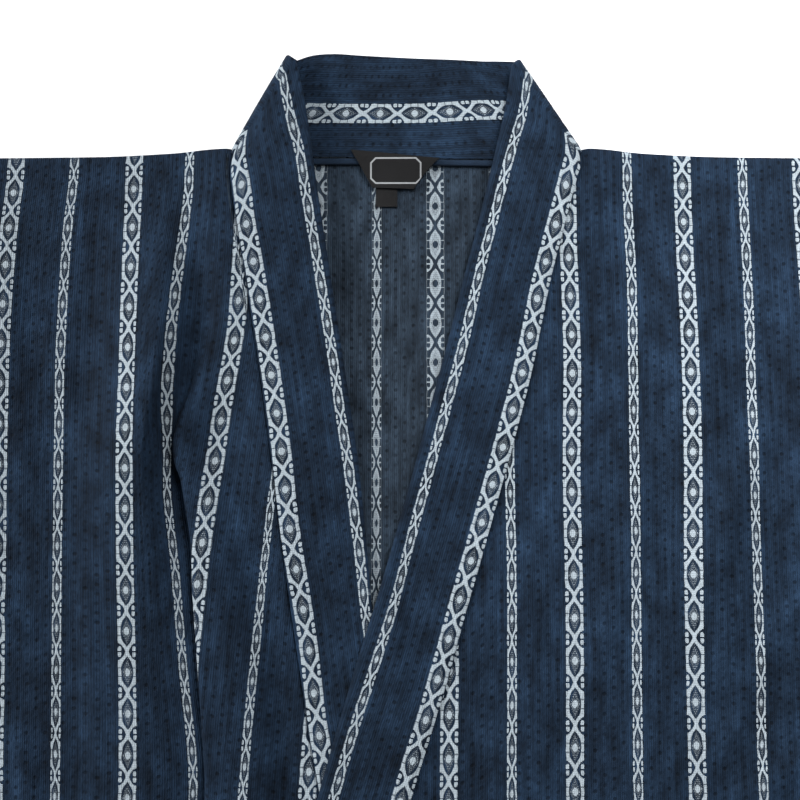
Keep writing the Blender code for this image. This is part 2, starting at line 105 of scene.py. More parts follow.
# Where each front is sewn to the collar band, and how high the band's seam stands over the flat
SeamRow = namedtuple("SeamRow", "down x raised")
RIGHT_SEAM = rows_of(SeamRow,
    (0, -95.5, 3),
    (10, -96.2, 4.2),
    (22, -95.4, 5.6),
    (42, -92.6, 5.3),
    (68, -88.2, 4.4),
    (102, -82.7, 3.4),
    (140, -76.7, 3.9),
    (180, -71.2, 4.9),
    (225, -65.3, 3.4),
    (270, -58.6, 0.5),
    (342, -46.7, 0),
    (420, -28, 0),
    (500, -7, 0),
)
LEFT_SEAM = rows_of(SeamRow,
    (0, 94.5, 3.1),
    (8, 93.8, 3.9),
    (22, 90.2, 4.4),
    (48, 83.3, 3.9),
    (82, 75, 2.4),
    (122, 66.5, 1.4),
    (160, 56.5, 0.5),
    (205, 43.8, 0),
    (252, 30.2, 0),
    (285, 21, 0),
    (346, 1.4, 0),
    (425, -21, 0),
    (500, -42.5, 0),
)
SEAM_SLOPE = 40.0
RIGHT_EDGE_X = 40.0
LEFT_EDGE_X = -89.5

# The under front's big fold, a row for each height. The cloth rises to a hump, falls to where it
# bends, turns up through an angle over one bend, runs straight, and turns level again over another.
FoldRow = namedtuple("FoldRow", "down hump_x hump_z bend_x turn bend run")
BIG_FOLD = rows_of(FoldRow,
    (0, -133, 0, -124, 0, 4.6, 1),
    (30, -133, 2.5, -118, 3, 4.6, 1),
    (60, -133.5, 7.5, -112, 8, 4.6, 1),
    (83, -134, 11, -110, 14, 4.6, 1),
    (105, -134.5, 14, -114, 24, 4.6, 1),
    (126, -136, 16, -119.5, 40, 4.6, 1),
    (144, -138, 17.5, -125, 70, 4.6, 1),
    (159, -140, 17.5, -127.1, 105, 4.8, 1),
    (170, -141, 16.5, -125.5, 120, 5.4, 1),
    (180, -142, 15, -120.8, 135, 6, 1),
    (191, -142, 13.5, -116.7, 155, 6, 1.4),
    (213, -142, 11.5, -110.4, 176, 6.2, 2.5),
    (244, -141, 9, -106.3, 180, 6.2, 4.5),
    (275, -140, 7.5, -99.8, 180, 6.2, 8.3),
    (306, -139, 6.5, -95, 180, 6.2, 10.5),
    (342, -138, 6, -90.9, 180, 6.2, 12),
    (400, -146, 5.5, -99, 180, 6.2, 12),
    (450, -154, 5, -109, 180, 6.2, 12),
    (500, -164, 4, -121, 180, 6.2, 12),
    (750, -164, 4, -121, 180, 6.2, 12),
)
HUMP_REACH = 42.0
LEVEL_FROM = 60.0
LEVEL_BY = 120.0

# Where the cloth under the fold comes down to the flat: from how far past the bend, over what length, and up
# to what share of the way to its inner edge
SETTLE_PAST_BEND = 0.5
SETTLE_PAST_FOLD = 3.0
SETTLE = 26.0
SETTLE_SHARE = 0.8

# Soft ridges of the laid cloth: from one end to the other, half their width, and their height
Ridge = namedtuple("Ridge", "x0 y0 x1 y1 half_width height")
LEFT_FRONT_RIDGES = rows_of(Ridge,
    (148, -60, 172, -300, 27, 5),
    (222, -40, 238, -400, 30, 6),
    (112, -350, 150, -620, 30, 5),
    (20, -560, 48, -790, 30, 5.5),
    (236, -500, 212, -790, 30, 6),
)
RIGHT_FRONT_RIDGES = rows_of(Ridge,
    (-236, -50, -250, -400, 28, 5),
    (-186, -520, -180, -790, 30, 5),
    (-60, -600, -36, -790, 26, 2),
)
SLEEVE_RIDGES = rows_of(Ridge,
    (250, -244, 560, -120, 30, 3.2),
    (260, -70, 620, -62, 30, 2.8),
    (430, -226, 660, -180, 26, 2.6),
)

# The collar band, a row for each place across it: its sewn edge and its free edge
Station = namedtuple("Station", "sewn_x sewn_y sewn_z free_x free_y free_z crown")
RIGHT_COLLAR = rows_of(Station,
    (-7, -500, 3.2, 40, -500, 3.2, 0),
    (-28, -420, 3.2, 19, -413, 3.2, 0),
    (-46.7, -342, 3.2, 0, -335, 3.2, 0),
    (-58.6, -270, 3.6, -17.2, -263, 3.2, 0.5),
    (-65.3, -225, 6.5, -22, -219, 3.6, 1),
    (-71.2, -180, 8, -26.6, -174, 4.6, 1),
    (-76.7, -140, 7, -32.4, -134, 5.6, 1),
    (-82.7, -102, 6.5, -38.6, -94, 7, 1),
    (-88.2, -68, 7.5, -44.6, -55, 9, 1.5),
    (-92.6, -42, 9, -50, -20, 11.5, 2),
    (-95.4, -22, 9.5, -54.3, 12, 14, 2),
    (-96.4, -10, 8, -58.4, 34, 16, 2),
    (-94.6, -2.5, 7, -61.6, 47.5, 16.5, 2),
)
BACK_COLLAR = rows_of(Station,
    (-94.4, -3, 3, -61, 50.5, 6, 0),
    (-82, -3.2, 3, -52, 53.6, 5.4, 0),
    (-66, -3.2, 3, -40, 54.5, 5.2, 0),
    (-40, -3, 3, -25, 53.6, 5, 0),
    (0, -3.6, 3, 0, 52.2, 5, 0),
    (40, -4.2, 3, 26, 51.2, 5, 0),
    (66, -4.4, 3, 40, 50.4, 5, 0),
    (82, -4, 3, 50, 50.3, 5, 0),
    (93.2, -2.6, 3, 59, 50, 5.2, 0),
)
LEFT_COLLAR = rows_of(Station,
    (93.4, -2.2, 6.9, 57, 46, 11.5, 1),
    (94.4, -8, 7, 53.6, 23, 10.5, 1.5),
    (90.2, -22, 7.5, 48.8, 2, 9.5, 1.5),
    (83.3, -48, 7, 40, -35, 8.5, 1.5),
    (75, -82, 5.5, 30.4, -72, 7, 1),
    (66.5, -122, 4.5, 20.8, -110, 5.6, 0.5),
    (56.5, -160, 3.6, 10.6, -148, 4.4, 0.5),
    (43.8, -205, 3.2, -1.6, -193, 3.4, 0),
    (30.2, -252, 3.2, -15.4, -241, 3.2, 0),
    (21, -285, 3.2, -25.8, -274, 3.2, 0),
    (1.4, -346, 3.2, -43.6, -335, 3.2, 0),
    (-21, -425, 3.2, -65.4, -413, 3.2, 0),
    (-42.5, -500, 3.2, -89.5, -500, 3.2, 0),
)
RIGHT_ROLL = {"sewn": 2.0, "free": 4.6}
LEFT_ROLL = {"sewn": 1.8, "free": 3.0}

# The free edge of the under band, which the over pieces climb
FreeRow = namedtuple("FreeRow", "down x")
UNDER_FREE_EDGE = rows_of(FreeRow,
    (0, -53),
    (82.6, -40.6),
    (148.1, -30.1),
    (175, -26.8),
    (219, -22),
    (263, -17.2),
    (335, 0),
    (413, 19),
    (500, 40),
    (750, 40),
)

# How far out from that edge the climb starts and ends, and the least width of its top and of its slope
CLIMB_FROM = 24.0
CLIMB_TO = 5.0
LEAST_TOP = 8.0
LEAST_SLOPE = 14.0

# The label, the size tab under it, and the ties: the middle line of each, its half width and height
StripRow = namedtuple("StripRow", "x y half_width z")
NECK_LABEL = rows_of(StripRow,
    (-7, -1.8, 24.6, 5.7),
    (-7.3, -5, 21.9, 5.3),
    (-7.8, -12, 16.7, 4),
    (-8.1, -20.6, 11.4, 3.6),
)
SIZE_TAB = rows_of(StripRow,
    (-11.6, -16, 5.9, 2.2),
    (-11.6, -30.6, 5.9, 2.2),
)
LEFT_TIE = rows_of(StripRow,
    (-74, -503, 8, 7.4),
    (-76, -555, 8, 7.4),
    (-70, -620, 8, 7.4),
    (-77, -700, 8, 7.4),
)
RIGHT_TIE = rows_of(StripRow,
    (-270, -500, 8, 4.3),
    (-258, -550, 8, 4.3),
    (-240, -615, 8, 4.3),
    (-243, -700, 8, 4.3),
)

# Walls of the cloth shells here, and the steps that they are made in
WALL = 1.0
LABEL_THICK = 0.8
LAYER_OFF_MIDDLE = 0.9
SHARP_ANGLE = math.radians(40)
ROW_STEP = 3.0
COARSE_ROW_STEP = 6.0
COARSE_FROM = 390.0
EDGE_STEPS = [0.0, 0.5, 1.1, 1.8, 2.6, 3.6]
SECTION_STEPS = {"side": 28, "rise": 15, "fall": 18, "bend": 9, "settle": 14, "inner": 16}
BACK_COLUMNS = 96
BACK_ROW_STEP = 4.5
BACK_COARSE_FROM = 351.0
BACK_COARSE_STEP = 12.0
OVER_STEPS = {"under": 26, "climb": 16, "open": 84}
BAND_WIDTH = 45.0
BAND_STEPS = 17
BAND_TURN = 6
STATION_STEPS = 9
ROLL_STEPS = 18
SLEEVE_OUT_STEPS = 84
SLEEVE_LAYER_STEPS = 62
SLEEVE_TURN_STEPS = 6
LONG_STRIP_STEPS = 60
RIBBON_STEPS = 24
STRIP_SIDES = 20
ROUND_OFF = 1e-6

# Rows close to the line that a hem is sewn on, by how far they are from it, and rows from there to its edge
HEM_NEAR = 2.0
HEM_STEPS = (-0.8, 0.0, 0.8, HEM_NEAR)
HEM_ROWS = 3
CUFF_ROWS = 5

# A stitch is a bead 1 across, drawn out to its length and width, this far over the cloth's middle surface
STITCH_SEGMENTS = 8
STITCH_RINGS = 5
STITCH_ABOVE = WALL / 2 + 0.12

# How an edge turns down at a seam, and how a folded hem stands up
EDGE_DROP = 0.75
EDGE_REACH = 3.0
SHOULDER_TUCK = 0.8
HEM_DEPTH = 20.0
CUFF_DEPTH = 18.0
CUFF_SEWN_IN = 2.0
HEM_RISE = 0.5
HEM_SLOPE = 1.6

# Creases: sharper and lower than the soft ridges, and uneven
UNDER_CREASES = rows_of(Ridge,
    (-222, -28, -205, -205, 13, 1.5),
    (-196, -96, -168, -176, 9, 1.3),
    (-258, -212, -196, -262, 12, 1.6),
    (-171, -224, -160, -352, 8, 1.2),
    (-205, -300, -186, -442, 12, 1.8),
    (-262, -352, -228, -520, 14, 1.7),
    (-84, -250, -70, -372, 11, 1.1),
    (-98, -176, -80, -226, 9, 1),
    (-246, -560, -206, -640, 14, 1.9),
    (-150, -600, -118, -736, 11, 1.3),
    (-214, -660, -190, -748, 12, 1.5),
)
OVER_CREASES = rows_of(Ridge,
    (118, -26, 126, -122, 13, 1.5),
    (88, -104, 106, -222, 12, 1.2),
    (132, -150, 96, -292, 12, 1.5),
    (196, -132, 150, -252, 14, 1.9),
    (206, -238, 160, -330, 12, 1.5),
    (64, -214, 72, -352, 10, 1.1),
    (24, -296, 34, -402, 9, 0.9),
    (252, -296, 168, -352, 11, 1.6),
    (262, -128, 238, -264, 12, 1.6),
    (96, -430, 58, -560, 13, 1.6),
    (176, -402, 204, -562, 14, 1.8),
    (0, -470, 26, -612, 12, 1.3),
    (250, -588, 176, -664, 14, 1.9),
    (108, -640, 92, -746, 11, 1.4),
    (-40, -610, -18, -742, 11, 1.2),
)
SLEEVE_CREASES = rows_of(Ridge,
    (292, -120, 402, -96, 12, 1.4),
    (330, -210, 470, -150, 12, 1.6),
    (520, -30, 548, -150, 11, 1.2),
    (286, -40, 380, -28, 10, 1),
    (556, -236, 600, -142, 12, 1.3),
)
BACK_WAVES = rows_of(Ridge,
    (-40, -20, -22, -150, 15, 0.55),
    (34, -30, 10, -190, 14, 0.6),
    (2, -12, -12, -120, 10, 0.35),
)
BAND_CREASES = rows_of(Ridge,
    (-63.5, -196, -41, -184, 5, 0.7),
    (-58, -262, -30, -250, 6, 0.4),
    (86, -60, 60, -48, 6, 0.5),
    (40, -176, 16, -168, 6, 0.45),
    (-24, -398, 4, -386, 6, 0.5),
    (-12, -360, -44, -352, 6, 0.5),
    (-38, -452, -70, -440, 6, 0.5),
)

# The weave: stripes lie at even places out from the middle line, wide and narrow ones in turn
STRIPE_SPACING = 32.0
WIDE_STRIPE_AT = 24.0
REPEAT = 21.7
STRIPE_CORE = 5.0

# Where each stripe of the fronts runs down the laid cloth, by how far out it is in the flat cloth: its
# middle, how far its figures are shifted along it, and how wide it looks against its real width
StripeRow = namedtuple("StripeRow", "down x shift width")
UNDER_OUTER_STRIPES = {
    184: rows_of(StripeRow,
        (10, -183, -20, 1), (50, -186, -20, 1), (110, -187.5, -20, 1), (340, -184, -20, 1),
    ),
    152: rows_of(StripeRow,
        (20, -150, -19, 1), (65, -150, -22, 1), (130, -149.5, -23.5, 1), (200, -149, -22.5, 1),
        (340, -145.5, -20, 1), (500, -150, -20, 1),
    ),
    120: rows_of(StripeRow,
        (20, -119.5, -15.5, 1), (60, -123.5, -16, 1), (105, -127, -17, 1), (150, -129, -18.5, 0.9),
        (180, -128.5, -19.5, 0.7), (220, -124, -19, 0.8), (280, -118, -18, 0.85), (340, -112, -18, 0.9),
        (500, -118, -18, 0.9),
    ),
}
UNDER_INNER_STRIPES = {
    88: rows_of(StripeRow,
        (0, -88, -18.5, 1), (90, -92, -18.5, 1), (150, -100.5, -18.5, 1.05), (250, -112, -18.5, 1.05),
        (345, -118.5, -18.5, 1), (500, -126, -18.5, 1),
    ),
    56: rows_of(StripeRow,
        (0, -56, -26.5, 0.8), (100, -62, -26.5, 0.8), (200, -73.5, -26.5, 0.8), (260, -79.5, -25.5, 0.9),
        (335, -85, -25.5, 0.9), (500, -93, -25.5, 0.9),
    ),
    24: rows_of(StripeRow, (0, -24, -29, 1), (200, -41.5, -29, 1), (335, -52, -29, 1), (500, -61, -29, 1)),
}
OVER_STRIPES = {
    24: rows_of(StripeRow, (280, 22, -20.5, 1), (340, 21, -23, 1)),
    56: rows_of(StripeRow, (180, 54.5, -14, 1), (230, 55, -14.5, 1), (345, 54, -18.5, 1)),
    88: rows_of(StripeRow,
        (50, 87, -16.5, 1), (115, 88.5, -14.5, 1), (180, 87.5, -13, 1), (250, 88, -14.5, 1),
        (345, 87, -17.5, 1),
    ),
    120: rows_of(StripeRow,
        (25, 120, -14, 1), (90, 121.5, -13, 1), (195, 121, -12, 1), (335, 120, -15.5, 1),
    ),
    152: rows_of(StripeRow,
        (25, 150.5, -17, 1), (160, 152, -13.5, 1), (230, 151, -13.5, 1), (335, 151, -16, 1),
    ),
    184: rows_of(StripeRow, (20, 183.5, -15, 1), (90, 185, -15, 1)),
}
BACK_STRIPE_OFF = 9.0
BACK_SHIFT = -8.0

# Along the band, from the under front's end: how far its seam edge, its fold and its inner seam edge are out
# in the flat cloth, and how far the figures of its wide and its narrow stripe are shifted
BandRow = namedtuple("BandRow", "along seam_out fold_out inner_out wide_shift narrow_shift")
BAND_STRIPES = rows_of(BandRow,
    (0, 19, 62, 109, 0, 0),
    (190, 19, 62, 109, 5, 0),
    (245, 17.5, 58.5, 108, 4, 0),
    (305, 19.5, 59.5, 108, 4.5, 0),
    (350, 18.5, 60.5, 108, 7, 3.5),
    (395, 18.5, 60, 108, 9, 7),
    (440, 18.5, 60.5, 108, 11.5, 13),
    (465, 19, 61, 109, 13.5, 22),
    (480, 18.5, 61.5, 110, 14.5, 27),
    (494, 18.5, 64, 112, 16, 33),
    (507, 17, 64.5, 113, 17, 38),
    (510, 20.5, 60, 112, 20, 45),
    (549, 20, 59.5, 109, 19.5, 45),
    (607, 20, 61, 109.5, 17.5, 17.5),
    (663, 20, 64.5, 111.5, 9, -18),
    (704, 19.5, 62, 113, 9, -18),
    (707, 17.5, 66, 113, 11, -13),
    (716, 19, 64, 110, 10, 0.5),
    (740, 19.5, 62.5, 109, 9.5, 11.5),
    (775, 19, 62, 109, 11, 16),
    (815, 19.5, 62.5, 109, 13, 17),
    (857, 19.5, 62.5, 109, 15, 17),
    (915, 19.5, 62.5, 109, 17.5, 20),
    (985, 19, 64, 109, 19, 22),
    (1045, 19.5, 62.5, 109, 18.5, 21.5),
    (1300, 19.5, 62, 109, 22, 24),
)

# The same shift on the band's inner face, which shows inside the neck
ShiftRow = namedtuple("ShiftRow", "along shift")
INNER_SHIFTS = rows_of(ShiftRow, (549, 19.5), (607, 17.5), (663, 14))

# The bound seam at the neck, and the label's plain woven frame
NECK_SEAM = rows_of(StripRow,
    (-90, -5, 1.9, 2.5),
    (-60, -5.3, 1.9, 2.6),
    (-20, -5.2, 1.9, 2.5),
    (30, -6, 1.9, 2.6),
    (66, -6.4, 1.9, 2.5),
    (91, -5, 1.9, 2.5),
)
NECK_SEAM_HALF_HEIGHT = 1.1
FRAME_HALF_WIDTH = 13.6
FRAME_HALF_HEIGHT = 6.8
FRAME_CORNER = 2.6
FRAME_LINE = 0.42
FRAME_EDGE = (1.3, 0.7)
FRAME_CENTRE = (-6.6, -11.0)

# The two fronts. Side is -1 for the right one, and the hemmed edge is the one below the band
Front = namedtuple("Front", "side seam edge_x ridges creases hemmed_edge")
UNDER = Front(-1, RIGHT_SEAM, RIGHT_EDGE_X, RIGHT_FRONT_RIDGES, UNDER_CREASES, hemmed_edge=False)
OVER = Front(1, LEFT_SEAM, LEFT_EDGE_X, LEFT_FRONT_RIDGES, OVER_CREASES, hemmed_edge=True)


def smooth(t):
    """An even rise from 0 to 1."""
    t = max(0.0, min(1.0, t))
    return t * t * (3.0 - 2.0 * t)


def mix(a, b, t):
    return a + (b - a) * t


def even_steps(start, end, count):
    """The places after start, up to end, in equal steps."""
    return [mix(start, end, k / count) for k in range(1, count + 1)]


def edge_in(start):
    """Places close together, inwards from an edge."""
    return [start + inside for inside in EDGE_STEPS]


def edge_out(end):
    """Places close together, out to an edge."""
    return [end - inside for inside in reversed(EDGE_STEPS[:-1])]


def half_round(steps):
    """The angles of a half turn in equal steps, without its ends."""
    return [math.pi * k / steps for k in range(1, steps)]


BAND_PLACES = [inside / BAND_WIDTH for inside in EDGE_STEPS]
BAND_PLACES += even_steps(BAND_PLACES[-1], 1.0, BAND_STEPS)


def curved(here, there, pull_here, pull_there, t):
    """A value between two, on a cubic with a given slope at each."""
    start = here * (1 + 2 * t) * (1 - t) ** 2 + pull_here * t * (1 - t) ** 2
    end = there * t * t * (3 - 2 * t) + pull_there * t * t * (t - 1)
    return start + end


def read(rows, column, at, key=0):
    """A column of a table at a place between its rows, on a smooth line that never overshoots."""
    if at <= rows[0][key]:
        return getattr(rows[0], column)
    if at >= rows[-1][key]:
        return getattr(rows[-1], column)
    places = [row[key] for row in rows]
    values = [getattr(row, column) for row in rows]
    steps = [(values[i + 1] - values[i]) / (places[i + 1] - places[i]) for i in range(len(rows) - 1)]
    slopes = [steps[0]]
    for before, after in zip(steps, steps[1:]):
        same_way = before * after > 0
        slopes.append(2.0 * before * after / (before + after) if same_way else 0.0)
    slopes.append(steps[-1])
    i = max(k for k in range(len(rows) - 1) if places[k] <= at)
    span = places[i + 1] - places[i]
    t = (at - places[i]) / span
    return curved(values[i], values[i + 1], slopes[i] * span, slopes[i + 1] * span, t)


def on_smooth_line(rows, at):
    """The row at a place counted along the rows 0, 1, 2, with every column on a smooth curve."""
    last = len(rows) - 1
    i = min(int(at), last - 1)
    around = (rows[max(i - 1, 0)], rows[i], rows[i + 1], rows[min(i + 2, last)])
    return type(rows[0])(*(
        curved(here, there, (there - before) / 2, (after - here) / 2, at - i)
        for before, here, there, after in zip(*around)
    ))


def refined(rows, steps):
    """Rows on a smooth line through the given ones, in equal steps from the first to the last."""
    return [on_smooth_line(rows, k / steps * (len(rows) - 1)) for k in range(steps + 1)]


def ridge_height(ridges, x, y):
    """How high ridges or creases lift the cloth at a place."""
    total = 0.0
    for r in ridges:
        along_x, along_y = r.x1 - r.x0, r.y1 - r.y0
        length = math.hypot(along_x, along_y)
        along = ((x - r.x0) * along_x + (y - r.y0) * along_y) / (length * length)
        across = ((x - r.x0) * along_y - (y - r.y0) * along_x) / (length * r.half_width)
        if 0.0 < along < 1.0 and abs(across) < 1.0:
            total += r.height * (1 - across * across) ** 2 * (1 - (2 * along - 1) ** 4)
    return total


def place(x, y, z):
    """A garment point in millimetres from the shoulder line, as a point of the frame in metres."""
    return Vector((x * MM, (y + SHOULDER_ABOVE_ORIGIN) * MM, z * MM))


def row_y(x, down):
    """A row's y at x: rows near the shoulder follow its line."""
    return -down + read(SHOULDER, "above", abs(x)) * (1 - smooth(down / SHOULDER_FADE))


def edge_drop(distance):
    """How far the cloth has turned down, this far inside a seam."""
    return EDGE_DROP * smooth(1 - distance / EDGE_REACH)


def hem_rise(inside, depth):
    """How far a hem that is folded to this depth stands up, this far inside the edge."""
    return HEM_RISE * smooth(0.5 + (depth - inside) / HEM_SLOPE)


def seam_raise(rows, x, down):
    """How far the cloth beside the band's seam is lifted."""
    away = abs(x - read(rows, "x", down))
    return read(rows, "raised", down) * (1 - smooth(away / SEAM_SLOPE))


def climb(x, down):
    """How far the over front and its band rise where the under band lies beneath them."""
    edge = read(UNDER_FREE_EDGE, "x", down)
    return OVER_LIFT * smooth((edge + CLIMB_FROM - x) / (CLIMB_FROM - CLIMB_TO))


def inner_edge(front, down):
    """Where a front ends: just under the band's sewn edge above its end, and at its own hem below."""
    if down <= LAST_BAND_ROW:
        return read(front.seam, "x", down) - front.side * BAND_TUCK
    return front.edge_x


def front_height(front, down, x, lift, inner_x):
    """The height of a front's middle surface, where its fold or its climb lifts it by the given lift."""
    y = row_y(x, down)
    from_side = HALF_BODY - front.side * x
    from_inner = front.side * (x - inner_x)
    z = mix(EDGE_MID, FRONT_MID, smooth(min(down, from_side) / EDGE_STRIP)) + lift
    if down <= LAST_BAND_ROW:
        z += seam_raise(front.seam, x, down)
    z += ridge_height(front.ridges, x, y) + ridge_height(front.creases, x, y)
    z += hem_rise(LENGTH - down, HEM_DEPTH)
    if front.hemmed_edge and down > LAST_BAND_ROW:
        z += hem_rise(from_inner, HEM_DEPTH)
    return z - edge_drop(min(down, from_side, from_inner))


def panel_rows(step, coarse_from, coarse_step):
    """How far down the rows of a body panel lie: close together at its edges and in the upper part."""
    rows = edge_in(0.0)
    rows += [k * step for k in range(2, int(coarse_from / step) + 1)]
    rows += even_steps(coarse_from, LAST_BAND_ROW, round((LAST_BAND_ROW - coarse_from) / coarse_step))
    hem = LENGTH - HEM_DEPTH
    rows += [FIRST_FREE_ROW]
    near = hem - HEM_NEAR
    rows += even_steps(FIRST_FREE_ROW, near, round((near - FIRST_FREE_ROW) / coarse_step))
    rows += [hem + off for off in HEM_STEPS]
    rows += even_steps(hem + HEM_NEAR, LENGTH - EDGE_STEPS[-1], HEM_ROWS)
    return rows + edge_out(LENGTH)


# How far down the rows of both fronts lie
FRONT_ROWS = panel_rows(ROW_STEP, COARSE_FROM, COARSE_ROW_STEP)


def walk(start, headings, length):
    """Points along a line of this length from a start, in equal steps that each have a heading."""
    points = [start]
    for heading in headings:
        x, z = points[-1]
        x += math.cos(heading) * length / len(headings)
        z += math.sin(heading) * length / len(headings)
        points.append((x, z))
    return points[1:]


def under_section(down):
    """The under front's cut across the body, as (x, lift) from its side to its inner edge, its inner edge,
    and the numbers of the points where its first bend starts and its second one ends."""
    side_x, inner_x = -HALF_BODY, inner_edge(UNDER, down)
    hump_x, hump_z, bend_x, turn, bend, run = (
        read(BIG_FOLD, name, down) for name in ("hump_x", "hump_z", "bend_x", "turn", "bend", "run")
    )
    steps = SECTION_STEPS
    rise_x = hump_x - HUMP_REACH
    points = [(x, 0.0) for x in edge_in(side_x)]
    points += [(x, 0.0) for x in even_steps(side_x + EDGE_STEPS[-1], rise_x, steps["side"])]
    points += [(x, hump_z * smooth(1 - (hump_x - x) / HUMP_REACH))
               for x in even_steps(rise_x, hump_x, steps["rise"])]
    points += [(x, hump_z * smooth((bend_x - x) / (bend_x - hump_x)))
               for x in even_steps(hump_x, bend_x, steps["fall"])]
    bend_start = len(points) - 1
    angle = math.radians(turn)
    count = steps["bend"]
    first_bend = walk((bend_x, 0.0), [angle * (k + 0.5) / count for k in range(count)], bend)
    points += first_bend
    points += walk(points[-1], [angle], run)
    points += walk(points[-1], [angle * (1 - (k + 0.5) / count) for k in range(count)], bend)
    bend_end = len(points) - 1
    x, z = points[-1]
    level = smooth((turn - LEVEL_FROM) / (LEVEL_BY - LEVEL_FROM))
    past_fold = max(x for x, _ in first_bend) + SETTLE_PAST_FOLD
    past_bend = x + SETTLE_PAST_BEND
    settle_from = max(past_bend, mix(past_bend, past_fold, level))
    settle_to = min(settle_from + SETTLE, mix(settle_from, inner_x, SETTLE_SHARE))
    points.append((settle_from, z))
    points += [(at, z * smooth((settle_to - at) / (settle_to - settle_from)))
               for at in even_steps(settle_from, settle_to, steps["settle"])]
    points += [(at, 0.0) for at in even_steps(settle_to, inner_x - EDGE_STEPS[-1], steps["inner"])]
    points += [(x, 0.0) for x in edge_out(inner_x)]
    return points, inner_x, bend_start, bend_end


def over_section(down):
    """The over front's cut across the body, as (x, lift) from its inner edge to its side, and its inner
    edge."""
    inner_x = inner_edge(OVER, down)
    under_edge = read(UNDER_FREE_EDGE, "x", down)
    climb_top = max(inner_x + LEAST_TOP, under_edge + CLIMB_TO)
    climb_foot = max(climb_top + LEAST_SLOPE, under_edge + CLIMB_FROM)
    columns = edge_in(inner_x)
    columns += even_steps(columns[-1], climb_top, OVER_STEPS["under"])
    columns += even_steps(climb_top, climb_foot, OVER_STEPS["climb"])
    columns += even_steps(climb_foot, HALF_BODY - EDGE_STEPS[-1], OVER_STEPS["open"])
    columns += edge_out(HALF_BODY)
    return [(x, climb(x, down)) for x in columns], inner_x


def lengths_along(points):
    """How far along a line each of its points lies."""
    along = [0.0]
    for before, here in zip(points, points[1:]):
        along.append(along[-1] + math.dist(before, here))
    return along


def length_at(points, along, x, last=False):
    """How far along a cut the cloth lies at x: at its first such place, or at its last one."""
    pairs = range(len(points) - 1)
    for i in reversed(pairs) if last else pairs:
        here, there = points[i][0], points[i + 1][0]
        if min(here, there) <= x <= max(here, there) and here != there:
            return mix(along[i], along[i + 1], (x - here) / (there - here))
    return along[-1] + x - points[-1][0] if last else along[0]


Knot = namedtuple("Knot", "x out shift")


def stripe_knots(stripes, down, side):
    """Both sides of each stripe's core at a height, from left to right."""
    knots = []
    for out, rows in stripes.items():
        x, shift, width = (read(rows, name, down) for name in ("x", "shift", "width"))
        for core in (-STRIPE_CORE, STRIPE_CORE):
            knots.append(Knot(x + side * core * width, out + core, shift))
    return sorted(knots)


def out_at(knots, x):
    """How far out in the flat cloth a place is, where the cloth past the last stripes lies flat."""
    first, last = knots[0], knots[-1]
    side = math.copysign(1.0, last.out - first.out)
    return read(knots, "out", x) + side * (min(0.0, x - first.x) + max(0.0, x - last.x))


def under_front_outs(down, points, bend_start, bend_end):
    """How far out from the middle line each point of the under front's cut lies in the flat cloth."""
    along = lengths_along(points)
    outer_knots = stripe_knots(UNDER_OUTER_STRIPES, down, -1)
    inner_knots = stripe_knots(UNDER_INNER_STRIPES, down, -1)
    folded = smooth((read(BIG_FOLD, "turn", down) - LEVEL_FROM) / (LEVEL_BY - LEVEL_FROM))
    swap_from = mix(length_at(points, along, outer_knots[-1].x), along[bend_start], folded)
    swap_to = mix(length_at(points, along, inner_knots[0].x, last=True), along[bend_end], folded)
    outs = []
    for k, here in enumerate(along):
        before, after = min(k, bend_start), max(k, bend_end)
        outer = out_at(outer_knots, points[before][0]) - (here - along[before])
        inner = out_at(inner_knots, points[after][0]) + along[after] - here
        outs.append(mix(outer, inner, smooth((here - swap_from) / (swap_to - swap_from))))
    return outs


def figure_shifts(stripes, down, outs):
    """How far the figures are shifted along the warp at places out in the flat cloth."""
    knots = sorted(stripe_knots(stripes, down, 1), key=lambda knot: knot.out)
    return [read(knots, "shift", out, key=1) for out in outs]


def tucked(x, down):
    """A row's y, with the first rows drawn over the shoulder's fold."""
    return row_y(x, down) + SHOULDER_TUCK * smooth(1 - down / EDGE_REACH)


def sleeve_ring(x):
    """A flattened ring round a sleeve at x, as (y, z, how far from the fold), from the seam under the arm
    along the lower layer, over the fold on top, and back along the upper layer."""
    top, bottom = row_y(x, 0.0), row_y(x, 0.0) - SLEEVE_DEPTH
    radius = (FRONT_MID - BACK_MID) / 2
    middle = (FRONT_MID + BACK_MID) / 2
    rise = hem_rise(CUFF_X - abs(x), CUFF_DEPTH)
    ring = [(bottom + radius, BACK_MID)]
    ring += [(y, BACK_MID) for y in even_steps(bottom + radius, top - radius, SLEEVE_LAYER_STEPS // 2)]
    for angle in half_round(SLEEVE_TURN_STEPS):
        ring.append((top - radius + radius * math.sin(angle), middle - radius * math.cos(angle)))
    fold = len(ring) - SLEEVE_TURN_STEPS // 2
    for y in even_steps(top, bottom, SLEEVE_LAYER_STEPS):
        inside = min(top - y, y - bottom)
        lift = ridge_height(SLEEVE_RIDGES, abs(x), y) + ridge_height(SLEEVE_CREASES, abs(x), y) + rise
        seam = edge_drop(abs(x) - HALF_BODY - ARMHOLE_GAP)
        y = max(bottom + radius, min(top - radius, y))
        ring.append((y, FRONT_MID + (lift - seam) * smooth(inside / EDGE_STRIP)))
    for angle in half_round(SLEEVE_TURN_STEPS):
        ring.append((bottom + radius - radius * math.sin(angle), middle + radius * math.cos(angle)))
    ring.append(ring[0])
    along = lengths_along(ring)
    return [(y, z, length - along[fold]) for (y, z), length in zip(ring, along)]


